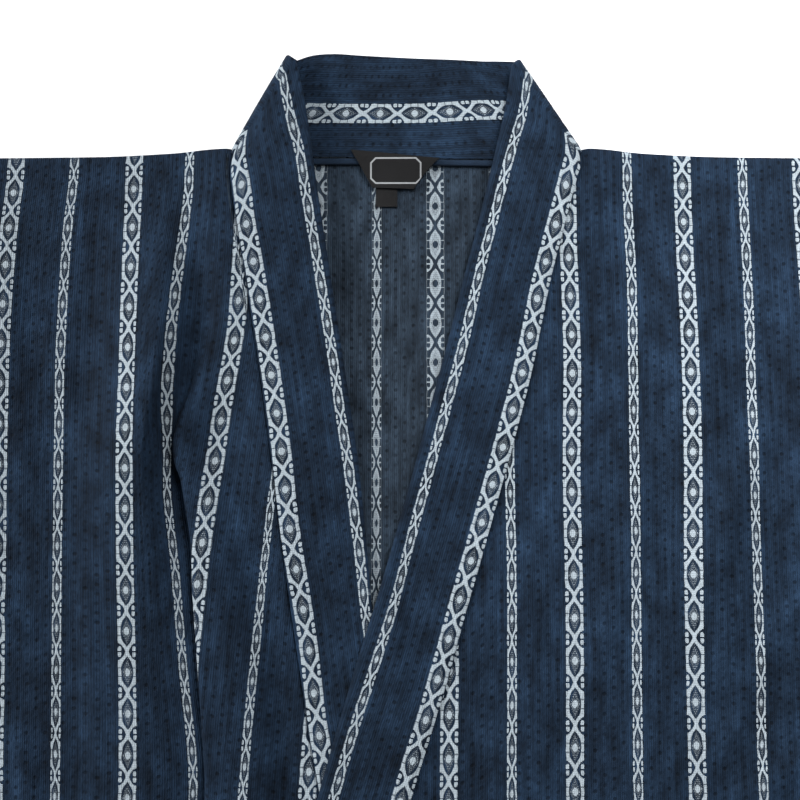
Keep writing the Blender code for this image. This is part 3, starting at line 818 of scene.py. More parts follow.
def roll_stations(front, back, reach):
    """The band's turn over the shoulder: a half round from its front stretch to its back one."""
    result = []
    out = Vector((front.sewn_y - front.free_y, front.free_x - front.sewn_x)).normalized()
    if out.x * front.sewn_x < 0:
        out = -out
    for angle in half_round(ROLL_STEPS):
        share = (1 - math.cos(angle)) / 2
        s = Station(*(mix(a, b, share) for a, b in zip(front, back)))
        result.append(s._replace(
            sewn_x=s.sewn_x + out.x * reach["sewn"] * math.sin(angle),
            sewn_y=s.sewn_y + out.y * reach["sewn"] * math.sin(angle),
            free_x=s.free_x + out.x * reach["free"] * math.sin(angle),
            free_y=s.free_y + out.y * reach["free"] * math.sin(angle),
            crown=front.crown * math.cos(angle / 2),
        ))
    return result


def band_middle():
    """The band's middle surface: for each place along it, points from its seam to its free edge."""
    right, back, left = (
        refined(rows, STATION_STEPS * (len(rows) - 1)) for rows in (RIGHT_COLLAR, BACK_COLLAR, LEFT_COLLAR)
    )
    round_right = roll_stations(RIGHT_COLLAR[-1], BACK_COLLAR[0], RIGHT_ROLL)
    round_left = roll_stations(LEFT_COLLAR[0], BACK_COLLAR[-1], LEFT_ROLL)
    over_from = len(right) + len(round_right) + len(back)
    surface = []
    for number, s in enumerate(right + round_right + back + round_left[::-1] + left):
        row = []
        for w in BAND_PLACES:
            x, y = mix(s.sewn_x, s.free_x, w), mix(s.sewn_y, s.free_y, w)
            z = mix(s.sewn_z, s.free_z, w) + s.crown * 4 * w * (1 - w)
            if number >= over_from:
                z += climb(x, -y)
            if not len(right) <= number < over_from:
                z += ridge_height(BAND_CREASES, x, y)
            row.append(Vector((x, y, z)))
        surface.append(row)
    return surface


def band_layers():
    """The doubled band: rows of points along it, from its seam over its outer face, round its fold and back
    along its inner face, with each point's place in the flat cloth, and the band's length."""
    middle = band_middle()
    rows, places = [], []
    along = lengths_along([row[0] for row in middle])
    for number, row in enumerate(middle):
        before, after = middle[max(number - 1, 0)], middle[min(number + 1, len(middle) - 1)]
        across = lengths_along(row)
        width = across[-1]
        here = along[number]
        seam_out, fold_out, inner_out, wide, narrow = (
            read(BAND_STRIPES, name, here) for name in BandRow._fields[1:]
        )
        outer, inner = [], []
        for k, (w, point) in enumerate(zip(BAND_PLACES, row)):
            sideways = (row[min(k + 1, len(row) - 1)] - row[max(k - 1, 0)]).normalized()
            up = sideways.cross(after[k] - before[k]).normalized()
            point = point - sideways * LAYER_OFF_MIDDLE * smooth(2 * w - 1)
            drop = edge_drop(across[k])
            outer.append(point + up * (LAYER_OFF_MIDDLE - drop))
            inner.append(point - up * LAYER_OFF_MIDDLE)
        turn = [point + (up * math.cos(angle) + sideways * math.sin(angle)) * LAYER_OFF_MIDDLE
                for angle in half_round(BAND_TURN)]
        rows.append(outer + turn + inner[::-1])
        outs = [mix(seam_out, fold_out, length / width) for length in across] + [fold_out] * (BAND_TURN - 1)
        shares = [max(0.0, min(1.0, (out - WIDE_STRIPE_AT) / STRIPE_SPACING)) for out in outs]
        flat = [(out, here + mix(wide, narrow, share)) for out, share in zip(outs, shares)]
        shift = read(INNER_SHIFTS, "shift", here)
        flat += [(mix(inner_out, fold_out, length / width), here + shift) for length in reversed(across)]
        places.append(flat)
    return rows, places, along[-1]


class Graph:
    """Adds nodes to a tree, with numbers or other nodes' outputs as their inputs."""

    def __init__(self, tree):
        self.tree = tree

    def give(self, socket, value):
        """Links an output to an input, or sets the input."""
        if isinstance(value, bpy.types.NodeSocket):
            self.tree.links.new(value, socket)
        elif value is not None:
            socket.default_value = value

    def node(self, kind, *inputs, **settings):
        made = self.tree.nodes.new(kind)
        for name, value in settings.items():
            setattr(made, name, value)
        for socket, value in zip(made.inputs, inputs):
            self.give(socket, value)
        return made

    def math(self, operation, *values):
        return self.node("ShaderNodeMath", *values, operation=operation).outputs[0]

    add = partialmethod(math, "ADD")
    subtract = partialmethod(math, "SUBTRACT")
    multiply = partialmethod(math, "MULTIPLY")
    multiply_add = partialmethod(math, "MULTIPLY_ADD")
    divide = partialmethod(math, "DIVIDE")
    absolute = partialmethod(math, "ABSOLUTE")
    maximum = partialmethod(math, "MAXIMUM")
    power = partialmethod(math, "POWER")
    cosine = partialmethod(math, "COSINE")
    floor = partialmethod(math, "FLOOR")
    fraction = partialmethod(math, "FRACT")

    def product(self, first, *others):
        for other in others:
            first = self.multiply(first, other)
        return first

    def wave(self, value, length):
        """A wave between -1 and 1 that repeats after this length."""
        return self.math("SINE", self.multiply(value, 2 * math.pi / length))

    def around_one(self, noise, strength):
        """A noise that varies about 1 in place of 0.5."""
        return self.multiply_add(self.subtract(noise, 0.5), strength, 1.0)

    def rise(self, value, low, high):
        """0 up to low and 1 from high, with a soft step between them."""
        made = self.node("ShaderNodeMapRange", value, low, high, 0.0, 1.0, interpolation_type="SMOOTHSTEP")
        return made.outputs[0]

    def curve(self, value, points):
        """A curve through (place, value) points, with straight runs between them."""
        made = self.node("ShaderNodeFloatCurve", 1.0, value)
        line = made.mapping.curves[0]
        for _ in range(len(points) - 2):
            line.points.new(0.5, 0.5)
        for point, at in zip(line.points, points):
            point.location = at
            point.handle_type = "VECTOR"
        made.mapping.update()
        return made.outputs[0]

    def noise(self, vector, kind):
        """A noise, which may be drawn out along the warp."""
        if kind.along != 1:
            drawn = self.node("ShaderNodeMapping", vector)
            drawn.inputs["Scale"].default_value = (1.0, kind.along, 1.0)
            vector = drawn.outputs[0]
        made = self.node("ShaderNodeTexNoise", vector)
        made.inputs["Scale"].default_value = kind.scale
        made.inputs["Detail"].default_value = kind.detail
        return made.outputs[0]

    def spot(self, out, along, kind):
        """1 on the rim of a rounded spot and less inside it."""
        sideways = self.absolute(self.divide(self.subtract(out, kind.out), kind.half_width))
        lengthways = self.absolute(self.divide(self.subtract(along, kind.along), kind.half_length))
        return self.add(self.power(sideways, kind.power), self.power(lengthways, kind.power))

    def scaled(self, colour, share):
        made = self.node("ShaderNodeVectorMath", tuple(colour)[:3], operation="SCALE")
        self.give(made.inputs["Scale"], share)
        return made.outputs[0]

    def blend(self, share, first, second):
        """A colour between two, each a colour or an output."""
        made = self.node("ShaderNodeMix", data_type="RGBA")
        for index, value in ((0, share), (6, first), (7, second)):
            self.give(made.inputs[index], value)
        return made.outputs[2]

    def bump(self, height, strength, depth):
        """The normal of a relief, whose depth is in millimetres."""
        made = self.node("ShaderNodeBump", strength, depth * MM)
        self.give(made.inputs["Height"], height)
        return made.outputs[0]


# The stripes' figure, half a repeat long: 0 at the middle of a diamond and 1 where two diamonds cross
FIGURE_OUTSIDE = [(0, 1), (0.56, 1), (0.59, 0.84), (0.64, 0.66), (0.74, 0.46), (0.85, 0.32), (1, 0.17)]
FIGURE_INSIDE = [
    (0, 0.78), (0.2, 0.77), (0.35, 0.70), (0.5, 0.53), (0.62, 0.34), (0.75, 0.1), (0.79, 0), (1, 0),
]
PICK = 0.046
INSIDE_OFF = 0.1
SOFT_EDGE = 0.09
SOFT_WAVE = (-0.3, 0.5)
STRIPE_EDGE = (1.08, 0.96)

# Rounded spots: where each lies and how large it is, as shares of the stripe's half width and half repeat,
# or of a dent's cell
Spot = namedtuple("Spot", "out half_width along half_length power")
BEADS = Spot(0.83, 0.18, 0.84, 0.105, 4)
BEAD_EDGE = (1.6, 0.8)
MIDDLE = Spot(0, 0.34, 0, 0.18, 1.6)
MIDDLE_EDGE = (1.2, 0.8)

# The thin dark cuts in a diamond's frame, and the dotted rings in its middle
CUT_ALONG = 0.19
CUT_EDGE = (0.045, 0.015)
CUT_FROM = (0.62, 0.70)
CUT_DEPTH = 0.75
RING_OUT = 0.66
RING_ALONG = 0.70
RING_STEP = 0.25
RING_START = 0.80
RING_MIDDLE = 0.68
RING_EDGE = (0.27, 0.23)
DOT_STEP = 0.24
DOT_WHITE = 0.80
BETWEEN_DOTS = 0.14


def stripe_figure_group(weave):
    """The stripes' woven figure: how white each place is, and whether it lies within a stripe."""
    tree = bpy.data.node_groups.new("stripe_figure", "ShaderNodeTree")
    tree.interface.new_socket("Cloth Place", in_out="INPUT", socket_type="NodeSocketVector")
    tree.interface.new_socket("Figure", in_out="OUTPUT", socket_type="NodeSocketFloat")
    tree.interface.new_socket("Within Stripe", in_out="OUTPUT", socket_type="NodeSocketFloat")
    g = Graph(tree)
    source = tree.nodes.new("NodeGroupInput").outputs
    sink = tree.nodes.new("NodeGroupOutput").inputs
    parts = g.node("ShaderNodeSeparateXYZ", source[0]).outputs
    half_spacing = weave.stripe_spacing / 2
    half_repeat = weave.repeat / 2
    from_wide = g.subtract(parts[0], WIDE_STRIPE_AT * MM)
    across = g.math("WRAP", from_wide, half_spacing, -half_spacing)
    turn = g.math("WRAP", from_wide, weave.stripe_spacing, -weave.stripe_spacing)
    narrow = g.math("GREATER_THAN", g.absolute(turn), half_spacing)
    half_width = g.multiply_add(narrow, weave.narrow_half - weave.wide_half, weave.wide_half)
    out = g.divide(g.absolute(across), half_width)
    along = g.math("SNAP", g.divide(g.math("PINGPONG", parts[1], half_repeat), half_repeat), PICK)

    within_outside = g.subtract(g.curve(along, FIGURE_OUTSIDE), out)
    past_inside = g.subtract(out, g.subtract(g.curve(along, FIGURE_INSIDE), INSIDE_OFF))
    edge = (-SOFT_EDGE / 2, SOFT_EDGE / 2)
    diamond = g.multiply(g.rise(within_outside, *edge), g.rise(past_inside, *edge))
    at_cut = g.rise(g.absolute(g.subtract(along, CUT_ALONG)), *CUT_EDGE)
    cut = g.product(g.rise(out, *CUT_FROM), CUT_DEPTH, at_cut)
    diamond = g.multiply(diamond, g.subtract(1.0, cut))
    beads = g.rise(g.spot(out, along, BEADS), *BEAD_EDGE)
    middle = g.rise(g.spot(out, along, MIDDLE), *MIDDLE_EDGE)

    outwards, lengthways = g.divide(out, RING_OUT), g.divide(along, RING_ALONG)
    around = g.add(outwards, lengthways)
    rings = g.cosine(g.multiply_add(around, 2 * math.pi / RING_STEP, 2 * math.pi * RING_START / RING_STEP))
    dots = g.cosine(g.multiply(g.subtract(outwards, lengthways), 2 * math.pi / DOT_STEP))
    dotted = g.multiply_add(g.rise(dots, *SOFT_WAVE), DOT_WHITE, BETWEEN_DOTS)
    ring = g.product(
        g.rise(rings, *SOFT_WAVE), dotted, g.rise(g.absolute(g.subtract(around, RING_MIDDLE)), *RING_EDGE)
    )
    g.give(sink[0], g.maximum(g.maximum(diamond, beads), g.maximum(middle, ring)))
    g.give(sink[1], g.rise(out, *STRIPE_EDGE))
    return tree


# The ground's ribs and its rows of small dents, whose hollows are darkened with painted shade
RIB = 1.1
DENT_ACROSS = 4.8
DENT_ALONG = 5.05
DENT_RADIUS = 1.1
DENT = Spot(0.5, DENT_RADIUS / DENT_ACROSS, 0.5, DENT_RADIUS / DENT_ALONG, 2)

# Noises in the cloths: how fine, how far drawn out along the warp, how detailed, and how strong in the shade
Noise = namedtuple("Noise", "scale along detail strength", defaults=(None,))
BLOTCHES = Noise(46, 0.5, 2, 1.6)
PATCHES = Noise(125, 0.5, 3, 2.2)
PUCKER = Noise(420, 0.55, 1)
STREAKS = Noise(520, 0.04, 2, 1.5)
FIBRES = Noise(2100, 0.16, 2, 1.2)
PLAIN_PATCHES = Noise(160, 1, 2, 0.7)
PLAIN_FIBRES = Noise(1900, 1, 2, 0.9)
LABEL_FIBRES = Noise(2600, 1, 2, 0.9)
FLOOR_GRAIN = Noise(60, 1, 3)
THREAD_STRENGTH = 0.8
PUCKER_REACH = 0.9

# How much ribs and the bars across the white threads change the shade, how far painted shade darkens the
# dents' hollows, what share of the dents' depth and shade is left to chance, how much white covers the
# ground, and what makes up the relief
SHADE = {"ribs": 0.18, "dents": -0.62, "bars": 0.11}
BARS_MEAN = 0.91
DENT_CHANCE = (0.7, 0.3)
DENT_EDGE = (1.5, 0.0)
RELIEF = {"ribs": 0.10, "pucker": 1.1, "dents": 0.5, "white": 0.45}
WHITE_SHARE = 0.97
WHITE_SHARE_INSIDE = 0.80

# The label's fine ribs and cross steps, and the floor's shades
LABEL_RIB = 0.42
LABEL_STEP = 0.6
LABEL_RIB_SHADE = 0.16
LABEL_STEP_RELIEF = 0.5
GRAIN_EDGE = (0.3, 0.7)
FLOOR_COOL = 1.01
FLOOR_DULL = 0.985


def new_finish(name, roughness, sheen, specular):
    """A new material, with its graph and its shader's inputs."""
    material = bpy.data.materials.new(name)
    material.use_nodes = True
    inputs = material.node_tree.nodes["Principled BSDF"].inputs
    inputs["Roughness"].default_value = roughness
    inputs["Sheen Weight"].default_value = sheen
    inputs["Specular IOR Level"].default_value = specular
    return material, Graph(material.node_tree), inputs


def striped_cotton(name, weave, wrong_side=False):
    """Crêpe cotton: fine ribs and dents in a navy ground, the dents' hollows darkened with painted shade,
    and the stripes' figures woven in white, or their reverse on the wrong side."""
    material, g, shader = new_finish(name, roughness=0.8, sheen=0.015, specular=0.075)
    shader["Sheen Roughness"].default_value = 0.45
    cloth = g.node("ShaderNodeUVMap", uv_map="cloth").outputs[0]
    figure = g.node("ShaderNodeGroup", node_tree=bpy.data.node_groups["stripe_figure"])
    pucker = g.noise(cloth, PUCKER)
    wander = g.multiply(g.subtract(pucker, 0.5), PUCKER_REACH * MM)
    moved = g.node("ShaderNodeCombineXYZ", wander, 0.0, 0.0).outputs[0]
    g.give(figure.inputs[0], g.node("ShaderNodeVectorMath", cloth, moved, operation="ADD").outputs[0])
    white, within = figure.outputs
    if wrong_side:
        white = g.multiply(within, g.subtract(1.0, white))

    parts = g.node("ShaderNodeSeparateXYZ", cloth).outputs
    ribs = g.wave(parts[0], RIB * MM)
    columns = g.divide(parts[0], DENT_ACROSS * MM)
    column = g.floor(columns)
    step = g.add(g.divide(parts[1], DENT_ALONG * MM), g.multiply(column, 0.5))
    cell = g.node("ShaderNodeCombineXYZ", column, g.floor(step), 0.0).outputs[0]
    chance = g.node("ShaderNodeTexWhiteNoise", cell, noise_dimensions="3D").outputs[0]
    dent = g.rise(g.spot(g.fraction(columns), g.fraction(step), DENT), *DENT_EDGE)
    # The dents' mask, for their relief and for the painted shade in their hollows
    dents = g.product(dent, g.multiply_add(chance, *DENT_CHANCE), g.subtract(1.0, within))
    fibres = g.noise(cloth, FIBRES)

    shade = g.product(
        g.around_one(g.noise(cloth, PATCHES), PATCHES.strength),
        g.around_one(g.noise(cloth, BLOTCHES), BLOTCHES.strength),
        g.multiply_add(ribs, SHADE["ribs"], 1.0),
        g.around_one(g.noise(cloth, STREAKS), STREAKS.strength),
        g.around_one(fibres, FIBRES.strength),
        # Painted shade: darkens the colour in the dents' hollows
        g.multiply_add(dents, SHADE["dents"], 1.0),
    )
    ground = g.scaled(weave.inside if wrong_side else weave.ground, shade)
    bars = g.multiply_add(g.wave(parts[1], RIB * MM), SHADE["bars"], BARS_MEAN)
    pale = g.scaled(weave.white, g.multiply(g.around_one(fibres, THREAD_STRENGTH), bars))
    share = g.multiply(white, WHITE_SHARE_INSIDE if wrong_side else WHITE_SHARE)
    g.give(shader["Base Color"], g.blend(share, ground, pale))

    height = g.multiply_add(ribs, RELIEF["ribs"], g.multiply(pucker, RELIEF["pucker"]))
    height = g.subtract(height, g.multiply(dents, RELIEF["dents"]))
    height = g.add(height, g.multiply(white, RELIEF["white"]))
    g.give(shader["Normal"], g.bump(height, strength=0.85, depth=0.7))
    return material


def plain_cotton(name, colour):
    """Navy cotton without stripes, for the bound seam, the ties and the thread."""
    material, g, shader = new_finish(name, roughness=0.86, sheen=0.04, specular=0.12)
    place_in = g.node("ShaderNodeTexCoord").outputs["Object"]
    fibres = g.noise(place_in, PLAIN_FIBRES)
    shade = g.multiply(
        g.around_one(fibres, PLAIN_FIBRES.strength),
        g.around_one(g.noise(place_in, PLAIN_PATCHES), PLAIN_PATCHES.strength),
    )
    g.give(shader["Base Color"], g.scaled(colour, shade))
    g.give(shader["Normal"], g.bump(fibres, strength=0.7, depth=0.3))
    return material


def label_satin(name, colour, line_colour=None):
    """Woven black ribbon with fine cross ribs, and a plain woven frame where a line colour is given."""
    material, g, shader = new_finish(name, roughness=0.6, sheen=0.03, specular=0.12)
    cloth = g.node("ShaderNodeUVMap", uv_map="cloth").outputs[0]
    parts = g.node("ShaderNodeSeparateXYZ", cloth).outputs
    ribs = g.wave(parts[1], LABEL_RIB * MM)
    steps = g.wave(parts[0], LABEL_STEP * MM)
    fibres = g.noise(cloth, LABEL_FIBRES)
    woven = g.multiply_add(ribs, LABEL_RIB_SHADE, 1.0)
    base = g.scaled(colour, g.multiply(woven, g.around_one(fibres, LABEL_FIBRES.strength)))
    if line_colour is not None:
        base = g.blend(label_frame(g, parts), base, tuple(line_colour))
    g.give(shader["Base Color"], base)
    relief = g.add(ribs, g.multiply(steps, LABEL_STEP_RELIEF))
    g.give(shader["Normal"], g.bump(relief, strength=0.5, depth=0.12))
    return material


def label_frame(g, parts):
    """The line of a plain frame with cut corners, round the middle of the label."""
    x, y = (
        g.subtract(g.absolute(g.subtract(part, centre * MM)), half * MM)
        for part, centre, half in zip(parts, FRAME_CENTRE, (FRAME_HALF_WIDTH, FRAME_HALF_HEIGHT))
    )
    corner = g.multiply(g.add(g.add(x, y), FRAME_CORNER * MM), math.sqrt(0.5))
    outside = g.maximum(g.maximum(x, y), corner)
    return g.rise(g.absolute(outside), *(FRAME_LINE * share * MM for share in FRAME_EDGE))


def floor_finish(tone):
    """A plain pale surface."""
    material, g, shader = new_finish("pale_floor", roughness=0.9, sheen=0.0, specular=0.5)
    grain = g.noise(g.node("ShaderNodeTexCoord").outputs["Object"], FLOOR_GRAIN)
    pale = (tone, tone, tone * FLOOR_COOL, 1.0)
    duller = (*(c * FLOOR_DULL for c in pale[:3]), 1.0)
    g.give(shader["Base Color"], g.blend(g.rise(grain, *GRAIN_EDGE), duller, pale))
    return material


def grid_mesh(name, points, places, ring=False):
    """A mesh of quads through rows of points, with a place in the flat cloth for each of them. The rows of a
    ring close on themselves, and its places end with one more for the first point."""
    mesh = bpy.data.meshes.new(name)
    bm = bmesh.new()
    verts = [[bm.verts.new(point) for point in row] for row in points]
    layer = bm.loops.layers.uv.new("cloth")
    columns = len(points[0])
    for j in range(len(points) - 1):
        for i in range(columns if ring else columns - 1):
            corners = ((j, i), (j + 1, i), (j + 1, i + 1), (j, i + 1))
            face = bm.faces.new([verts[a][b % columns] for a, b in corners])
            for loop, (a, b) in zip(face.loops, corners):
                u, v = places[a][b]
                loop[layer].uv = (u * MM, v * MM)
    bm.to_mesh(mesh)
    bm.free()
    return mesh


def plain_mesh(obj):
    """Turns an object's modifiers, or a curve, into a mesh of its own."""
    bpy.context.view_layer.update()
    evaluated = obj.evaluated_get(bpy.context.evaluated_depsgraph_get())
    return bpy.data.meshes.new_from_object(evaluated)


def new_object(name, data):
    obj = bpy.data.objects.new(name, data)
    bpy.context.scene.collection.objects.link(obj)
    return obj


def add_piece(name, mesh, finishes, wall=None, nodes=()):
    """Makes a finished piece: its wall and finishes, the body it rides on and the nodes it stands for."""
    for finish in finishes:
        mesh.materials.append(finish)
    obj = new_object(name, mesh)
    if wall is not None:
        solid = obj.modifiers.new("wall", "SOLIDIFY")
        solid.thickness = wall * MM
        solid.offset = 0.0
        solid.material_offset = len(finishes) - 1
        baked = plain_mesh(obj)
        obj.modifiers.clear()
        obj.data = baked
        obj.data.name = name
        bpy.data.meshes.remove(mesh)
    obj.data.shade_smooth()
    obj.data.set_sharp_from_angle(angle=SHARP_ANGLE)
    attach(obj, "root")
    if nodes:
        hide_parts(*nodes)
    return obj


def add_panel(name, points, places, node, finish, ring=False, outer="right side", inner="wrong side"):
    """A piece of striped cotton that stands for one node. Outer is the side of the cloth on its faces."""
    mesh = grid_mesh(name, points, places, ring)
    return add_piece(name, mesh, [finish[outer], finish[inner]], WALL, [node])


def strip_ring(rows, half_height):
    """Flattened rings with round edges round a strip's rows, and their places."""
    points, places = [], []
    for k, row in enumerate(rows):
        before, after = rows[max(k - 1, 0)], rows[min(k + 1, len(rows) - 1)]
        heading = Vector((after.x - before.x, after.y - before.y, after.z - before.z)).normalized()
        side = Vector((-heading.y, heading.x, 0.0)).normalized()
        up = heading.cross(side)
        straight = row.half_width - half_height
        ring = []
        for i in range(STRIP_SIDES + 1):
            angle = 2 * math.pi * i / STRIP_SIDES
            across = math.cos(angle)
            reach = side * (math.copysign(straight, across) if abs(across) > ROUND_OFF else 0.0)
            ring.append(reach + side * across * half_height + up * math.sin(angle) * half_height)
        points.append([place(row.x + p.x, row.y + p.y, row.z + p.z) for p in ring[:-1]])
        places.append([(row.x + p.x, row.y + p.y) for p in ring])
    return points, places


def strip_mesh(name, rows, half_height):
    """A closed flat strip with round edges."""
    points, places = strip_ring(rows, half_height)
    mesh = grid_mesh(name, points, places, ring=True)
    bm = bmesh.new()
    bm.from_mesh(mesh)
    open_edges = [edge for edge in bm.edges if edge.is_boundary]
    bmesh.ops.holes_fill(bm, edges=open_edges, sides=0)
    bmesh.ops.recalc_face_normals(bm, faces=bm.faces)
    bm.to_mesh(mesh)
    bm.free()
    return mesh


def make_back(finish):
    """The back, wrong side up, with low waves where it shows inside the neck."""
    columns = edge_in(0.0)
    columns += even_steps(columns[-1], 2 * HALF_BODY - EDGE_STEPS[-1], BACK_COLUMNS)
    columns += edge_out(2 * HALF_BODY)
    points, places = [], []
    for down in panel_rows(BACK_ROW_STEP, BACK_COARSE_FROM, BACK_COARSE_STEP):
        line, flat = [], []
        for column in columns:
            x = column - HALF_BODY
            y = row_y(x, down)
            line.append(place(x, y, BACK_MID + ridge_height(BACK_WAVES, x, y)))
            flat.append((x + BACK_STRIPE_OFF, down + BACK_SHIFT))
        points.append(line)
        places.append(flat)
    back = add_panel("back_panel", points, places, "back_body", finish,
                     outer="wrong side", inner="right side")
    roll = make_neck_seam(finish)
    flat = (2 * HALF_BODY * MM, LENGTH * MM)


def make_neck_seam(finish):
    """The bound seam that runs along the neck under the label."""
    mesh = strip_mesh("neck_seam_binding", refined(NECK_SEAM, LONG_STRIP_STEPS), NECK_SEAM_HALF_HEIGHT)
    return add_piece("neck_seam_binding", mesh, [finish["plain"]])


def front_row(front, down, section, inner_x):
    """A row of points across a front, from its cut."""
    return [place(x, tucked(x, down), front_height(front, down, x, lift, inner_x)) for x, lift in section]


def flat_row(stripes, down, outs):
    """Where a row of points lies in the flat cloth: how far out, and how far along with its shift."""
    return [(out, down + shift) for out, shift in zip(outs, figure_shifts(stripes, down, outs))]


def make_under_front(finish):
    """The under front, with its big fold."""
    points, places = [], []
    for down in FRONT_ROWS:
        section, inner_x, bend_start, bend_end = under_section(down)
        outs = under_front_outs(down, section, bend_start, bend_end)
        points.append(front_row(UNDER, down, section, inner_x))
        places.append(flat_row({**UNDER_OUTER_STRIPES, **UNDER_INNER_STRIPES}, down, outs))
    return add_panel("right_front_panel", points, places, "front_right", finish)


def make_over_front(finish):
    """The over front, which climbs the under band and the under front."""
    points, places = [], []
    for down in FRONT_ROWS:
        section, inner_x = over_section(down)
        knots = stripe_knots(OVER_STRIPES, down, 1)
        outs = [out_at(knots, x) for x, _ in section]
        points.append(front_row(OVER, down, section, inner_x))
        places.append(flat_row(OVER_STRIPES, down, outs))
    return add_panel("left_front_panel", points, places, "front_left", finish)


def make_fronts(finish, sewing):
    """Both fronts, with the stitches along their hems and down the over front's edge."""
    under = make_under_front(finish)
    over = make_over_front(finish)
    inside = sewing.hem_inside / MM
    hem = LENGTH - inside
    section, inner_x, _, _ = under_section(hem)
    under_seams = [hem_line(UNDER, hem, section, inner_x, -HALF_BODY + EDGE_REACH, LEFT_EDGE_X - EDGE_REACH)]
    section, inner_x = over_section(hem)
    over_seams = [hem_line(OVER, hem, section, inner_x, LEFT_EDGE_X + EDGE_REACH, HALF_BODY - EDGE_REACH)]
    over_seams += [edge_line(LEFT_EDGE_X + inside)]
    thread = finish["thread"]
    under_thread = make_stitches("right_hem_stitches", under_seams, sewing, thread)
    over_thread = make_stitches("left_hem_stitches", over_seams, sewing, thread)


def make_band(finish):
    """The collar band: one doubled strip, up the under front, round the neck, down the over front."""
    rows, places, length = band_layers()
    points = [[place(*p) for p in row] for row in rows]
    band = add_panel("collar_strip", points[::-1], places[::-1], "collar_band", finish)


def make_sleeve(word, side, finish, sewing):
    """A sleeve: one piece folded along its top, a flattened tube that is open at both ends, with the
    stitches round its cuff."""
    outs = edge_in(HALF_BODY + ARMHOLE_GAP)
    cuff = CUFF_X - CUFF_DEPTH
    outs += even_steps(outs[-1], cuff - HEM_NEAR, SLEEVE_OUT_STEPS)
    outs += [cuff + off for off in HEM_STEPS]
    outs += even_steps(cuff + HEM_NEAR, CUFF_X, CUFF_ROWS)
    points, places = [], []
    for out in outs:
        ring = sleeve_ring(side * out)
        points.append([place(side * out, y, z) for y, z, _ in ring[:-1]])
        places.append([(out, length) for _, _, length in ring])
    # The left sleeve's rings are taken from its cuff inwards, so that its faces point outwards too
    if side > 0:
        points, places = points[::-1], places[::-1]
    sleeve = add_panel(f"{word}_sleeve_tube", points, places, f"sleeve_{word}", finish, ring=True)
    lines = [cuff_line(side, sewing.hem_inside / MM - CUFF_SEWN_IN)]
    thread = make_stitches(f"{word}_cuff_stitches", lines, sewing, finish["thread"])


def make_tie(word, rows, finish):
    """A tie: a narrow strip folded double, sewn at one end."""
    fine = refined(rows, LONG_STRIP_STEPS)
    name = f"{word}_tie_strip"
    mesh = strip_mesh(name, fine, TIE_CLOTH / 2)
    tie = add_piece(name, mesh, [finish["plain"]], nodes=[f"tie_{word}"])


def make_ribbon(name, rows, node, finish):
    """A label's ribbon, its folded edges round."""
    fine = refined(rows, RIBBON_STEPS)
    ribbon = add_piece(name, strip_mesh(name, fine, LABEL_THICK / 2), [finish], nodes=[node])


def stitch_tree(sewing):
    """Geometry nodes that set stitches along curves."""
    tree = bpy.data.node_groups.new("stitches_along_seams", "GeometryNodeTree")
    tree.interface.new_socket("Seams", in_out="INPUT", socket_type="NodeSocketGeometry")
    for name, value in (("Pitch", sewing.pitch), ("Length", sewing.length), ("Width", sewing.width)):
        socket = tree.interface.new_socket(name, in_out="INPUT", socket_type="NodeSocketFloat")
        socket.default_value = value
        socket.subtype = "DISTANCE"
    tree.interface.new_socket("Thread", in_out="INPUT", socket_type="NodeSocketMaterial")
    tree.interface.new_socket("Stitches", in_out="OUTPUT", socket_type="NodeSocketGeometry")
    g = Graph(tree)
    source = tree.nodes.new("NodeGroupInput").outputs
    spaced = g.node("GeometryNodeResampleCurve", source["Seams"], mode="LENGTH")
    g.give(spaced.inputs["Length"], source["Pitch"])
    bead = g.node("GeometryNodeMeshUVSphere", STITCH_SEGMENTS, STITCH_RINGS, 0.5)
    size = g.node("ShaderNodeCombineXYZ", source["Length"], source["Width"], source["Width"])
    shaped = g.node("GeometryNodeTransform", bead.outputs[0])
    g.give(shaped.inputs["Scale"], size.outputs[0])
    along = g.node("FunctionNodeAlignRotationToVector", axis="X")
    g.give(along.inputs["Vector"], g.node("GeometryNodeInputTangent").outputs[0])
    placed = g.node("GeometryNodeInstanceOnPoints", spaced.outputs[0])
    g.give(placed.inputs["Instance"], shaped.outputs[0])
    g.give(placed.inputs["Rotation"], along.outputs[0])
    real = g.node("GeometryNodeRealizeInstances", placed.outputs[0])
    dyed = g.node("GeometryNodeSetMaterial", real.outputs[0])
    g.give(dyed.inputs["Material"], source["Thread"])
    g.node("NodeGroupOutput", dyed.outputs[0])
    return tree


def make_stitches(name, lines, sewing, thread):
    """Stitches along lines of points, as one plain mesh."""
    curve = bpy.data.curves.new(name + "_path", "CURVE")
    curve.dimensions = "3D"
    for line in lines:
        spline = curve.splines.new("POLY")
        spline.points.add(len(line) - 1)
        for point, at in zip(spline.points, line):
            point.co = (*at, 1.0)
    path = new_object(name + "_path", curve)
    tree = bpy.data.node_groups.get("stitches_along_seams") or stitch_tree(sewing)
    modifier = path.modifiers.new("stitches", "NODES")
    modifier.node_group = tree
    for item in tree.interface.items_tree:
        if item.in_out == "INPUT" and item.name == "Thread":
            modifier[item.identifier] = thread
    mesh = plain_mesh(path)
    mesh.name = name
    bpy.data.objects.remove(path)
    mesh.materials.clear()
    return add_piece(name, mesh, [thread])


def hem_line(front, down, section, inner_x, x_from, x_to):
    """A stitch line along a front at a height, as points on its upper face."""
    return [place(x, row_y(x, down), front_height(front, down, x, lift, inner_x) + STITCH_ABOVE)
            for x, lift in section if x_from <= x <= x_to]


def edge_line(x):
    """A stitch line down the over front's free edge, at x."""
    return [place(x, row_y(x, down), front_height(OVER, down, x, climb(x, down), LEFT_EDGE_X) + STITCH_ABOVE)
            for down in FRONT_ROWS if FIRST_FREE_ROW + HEM_NEAR < down < LENGTH - HEM_DEPTH]


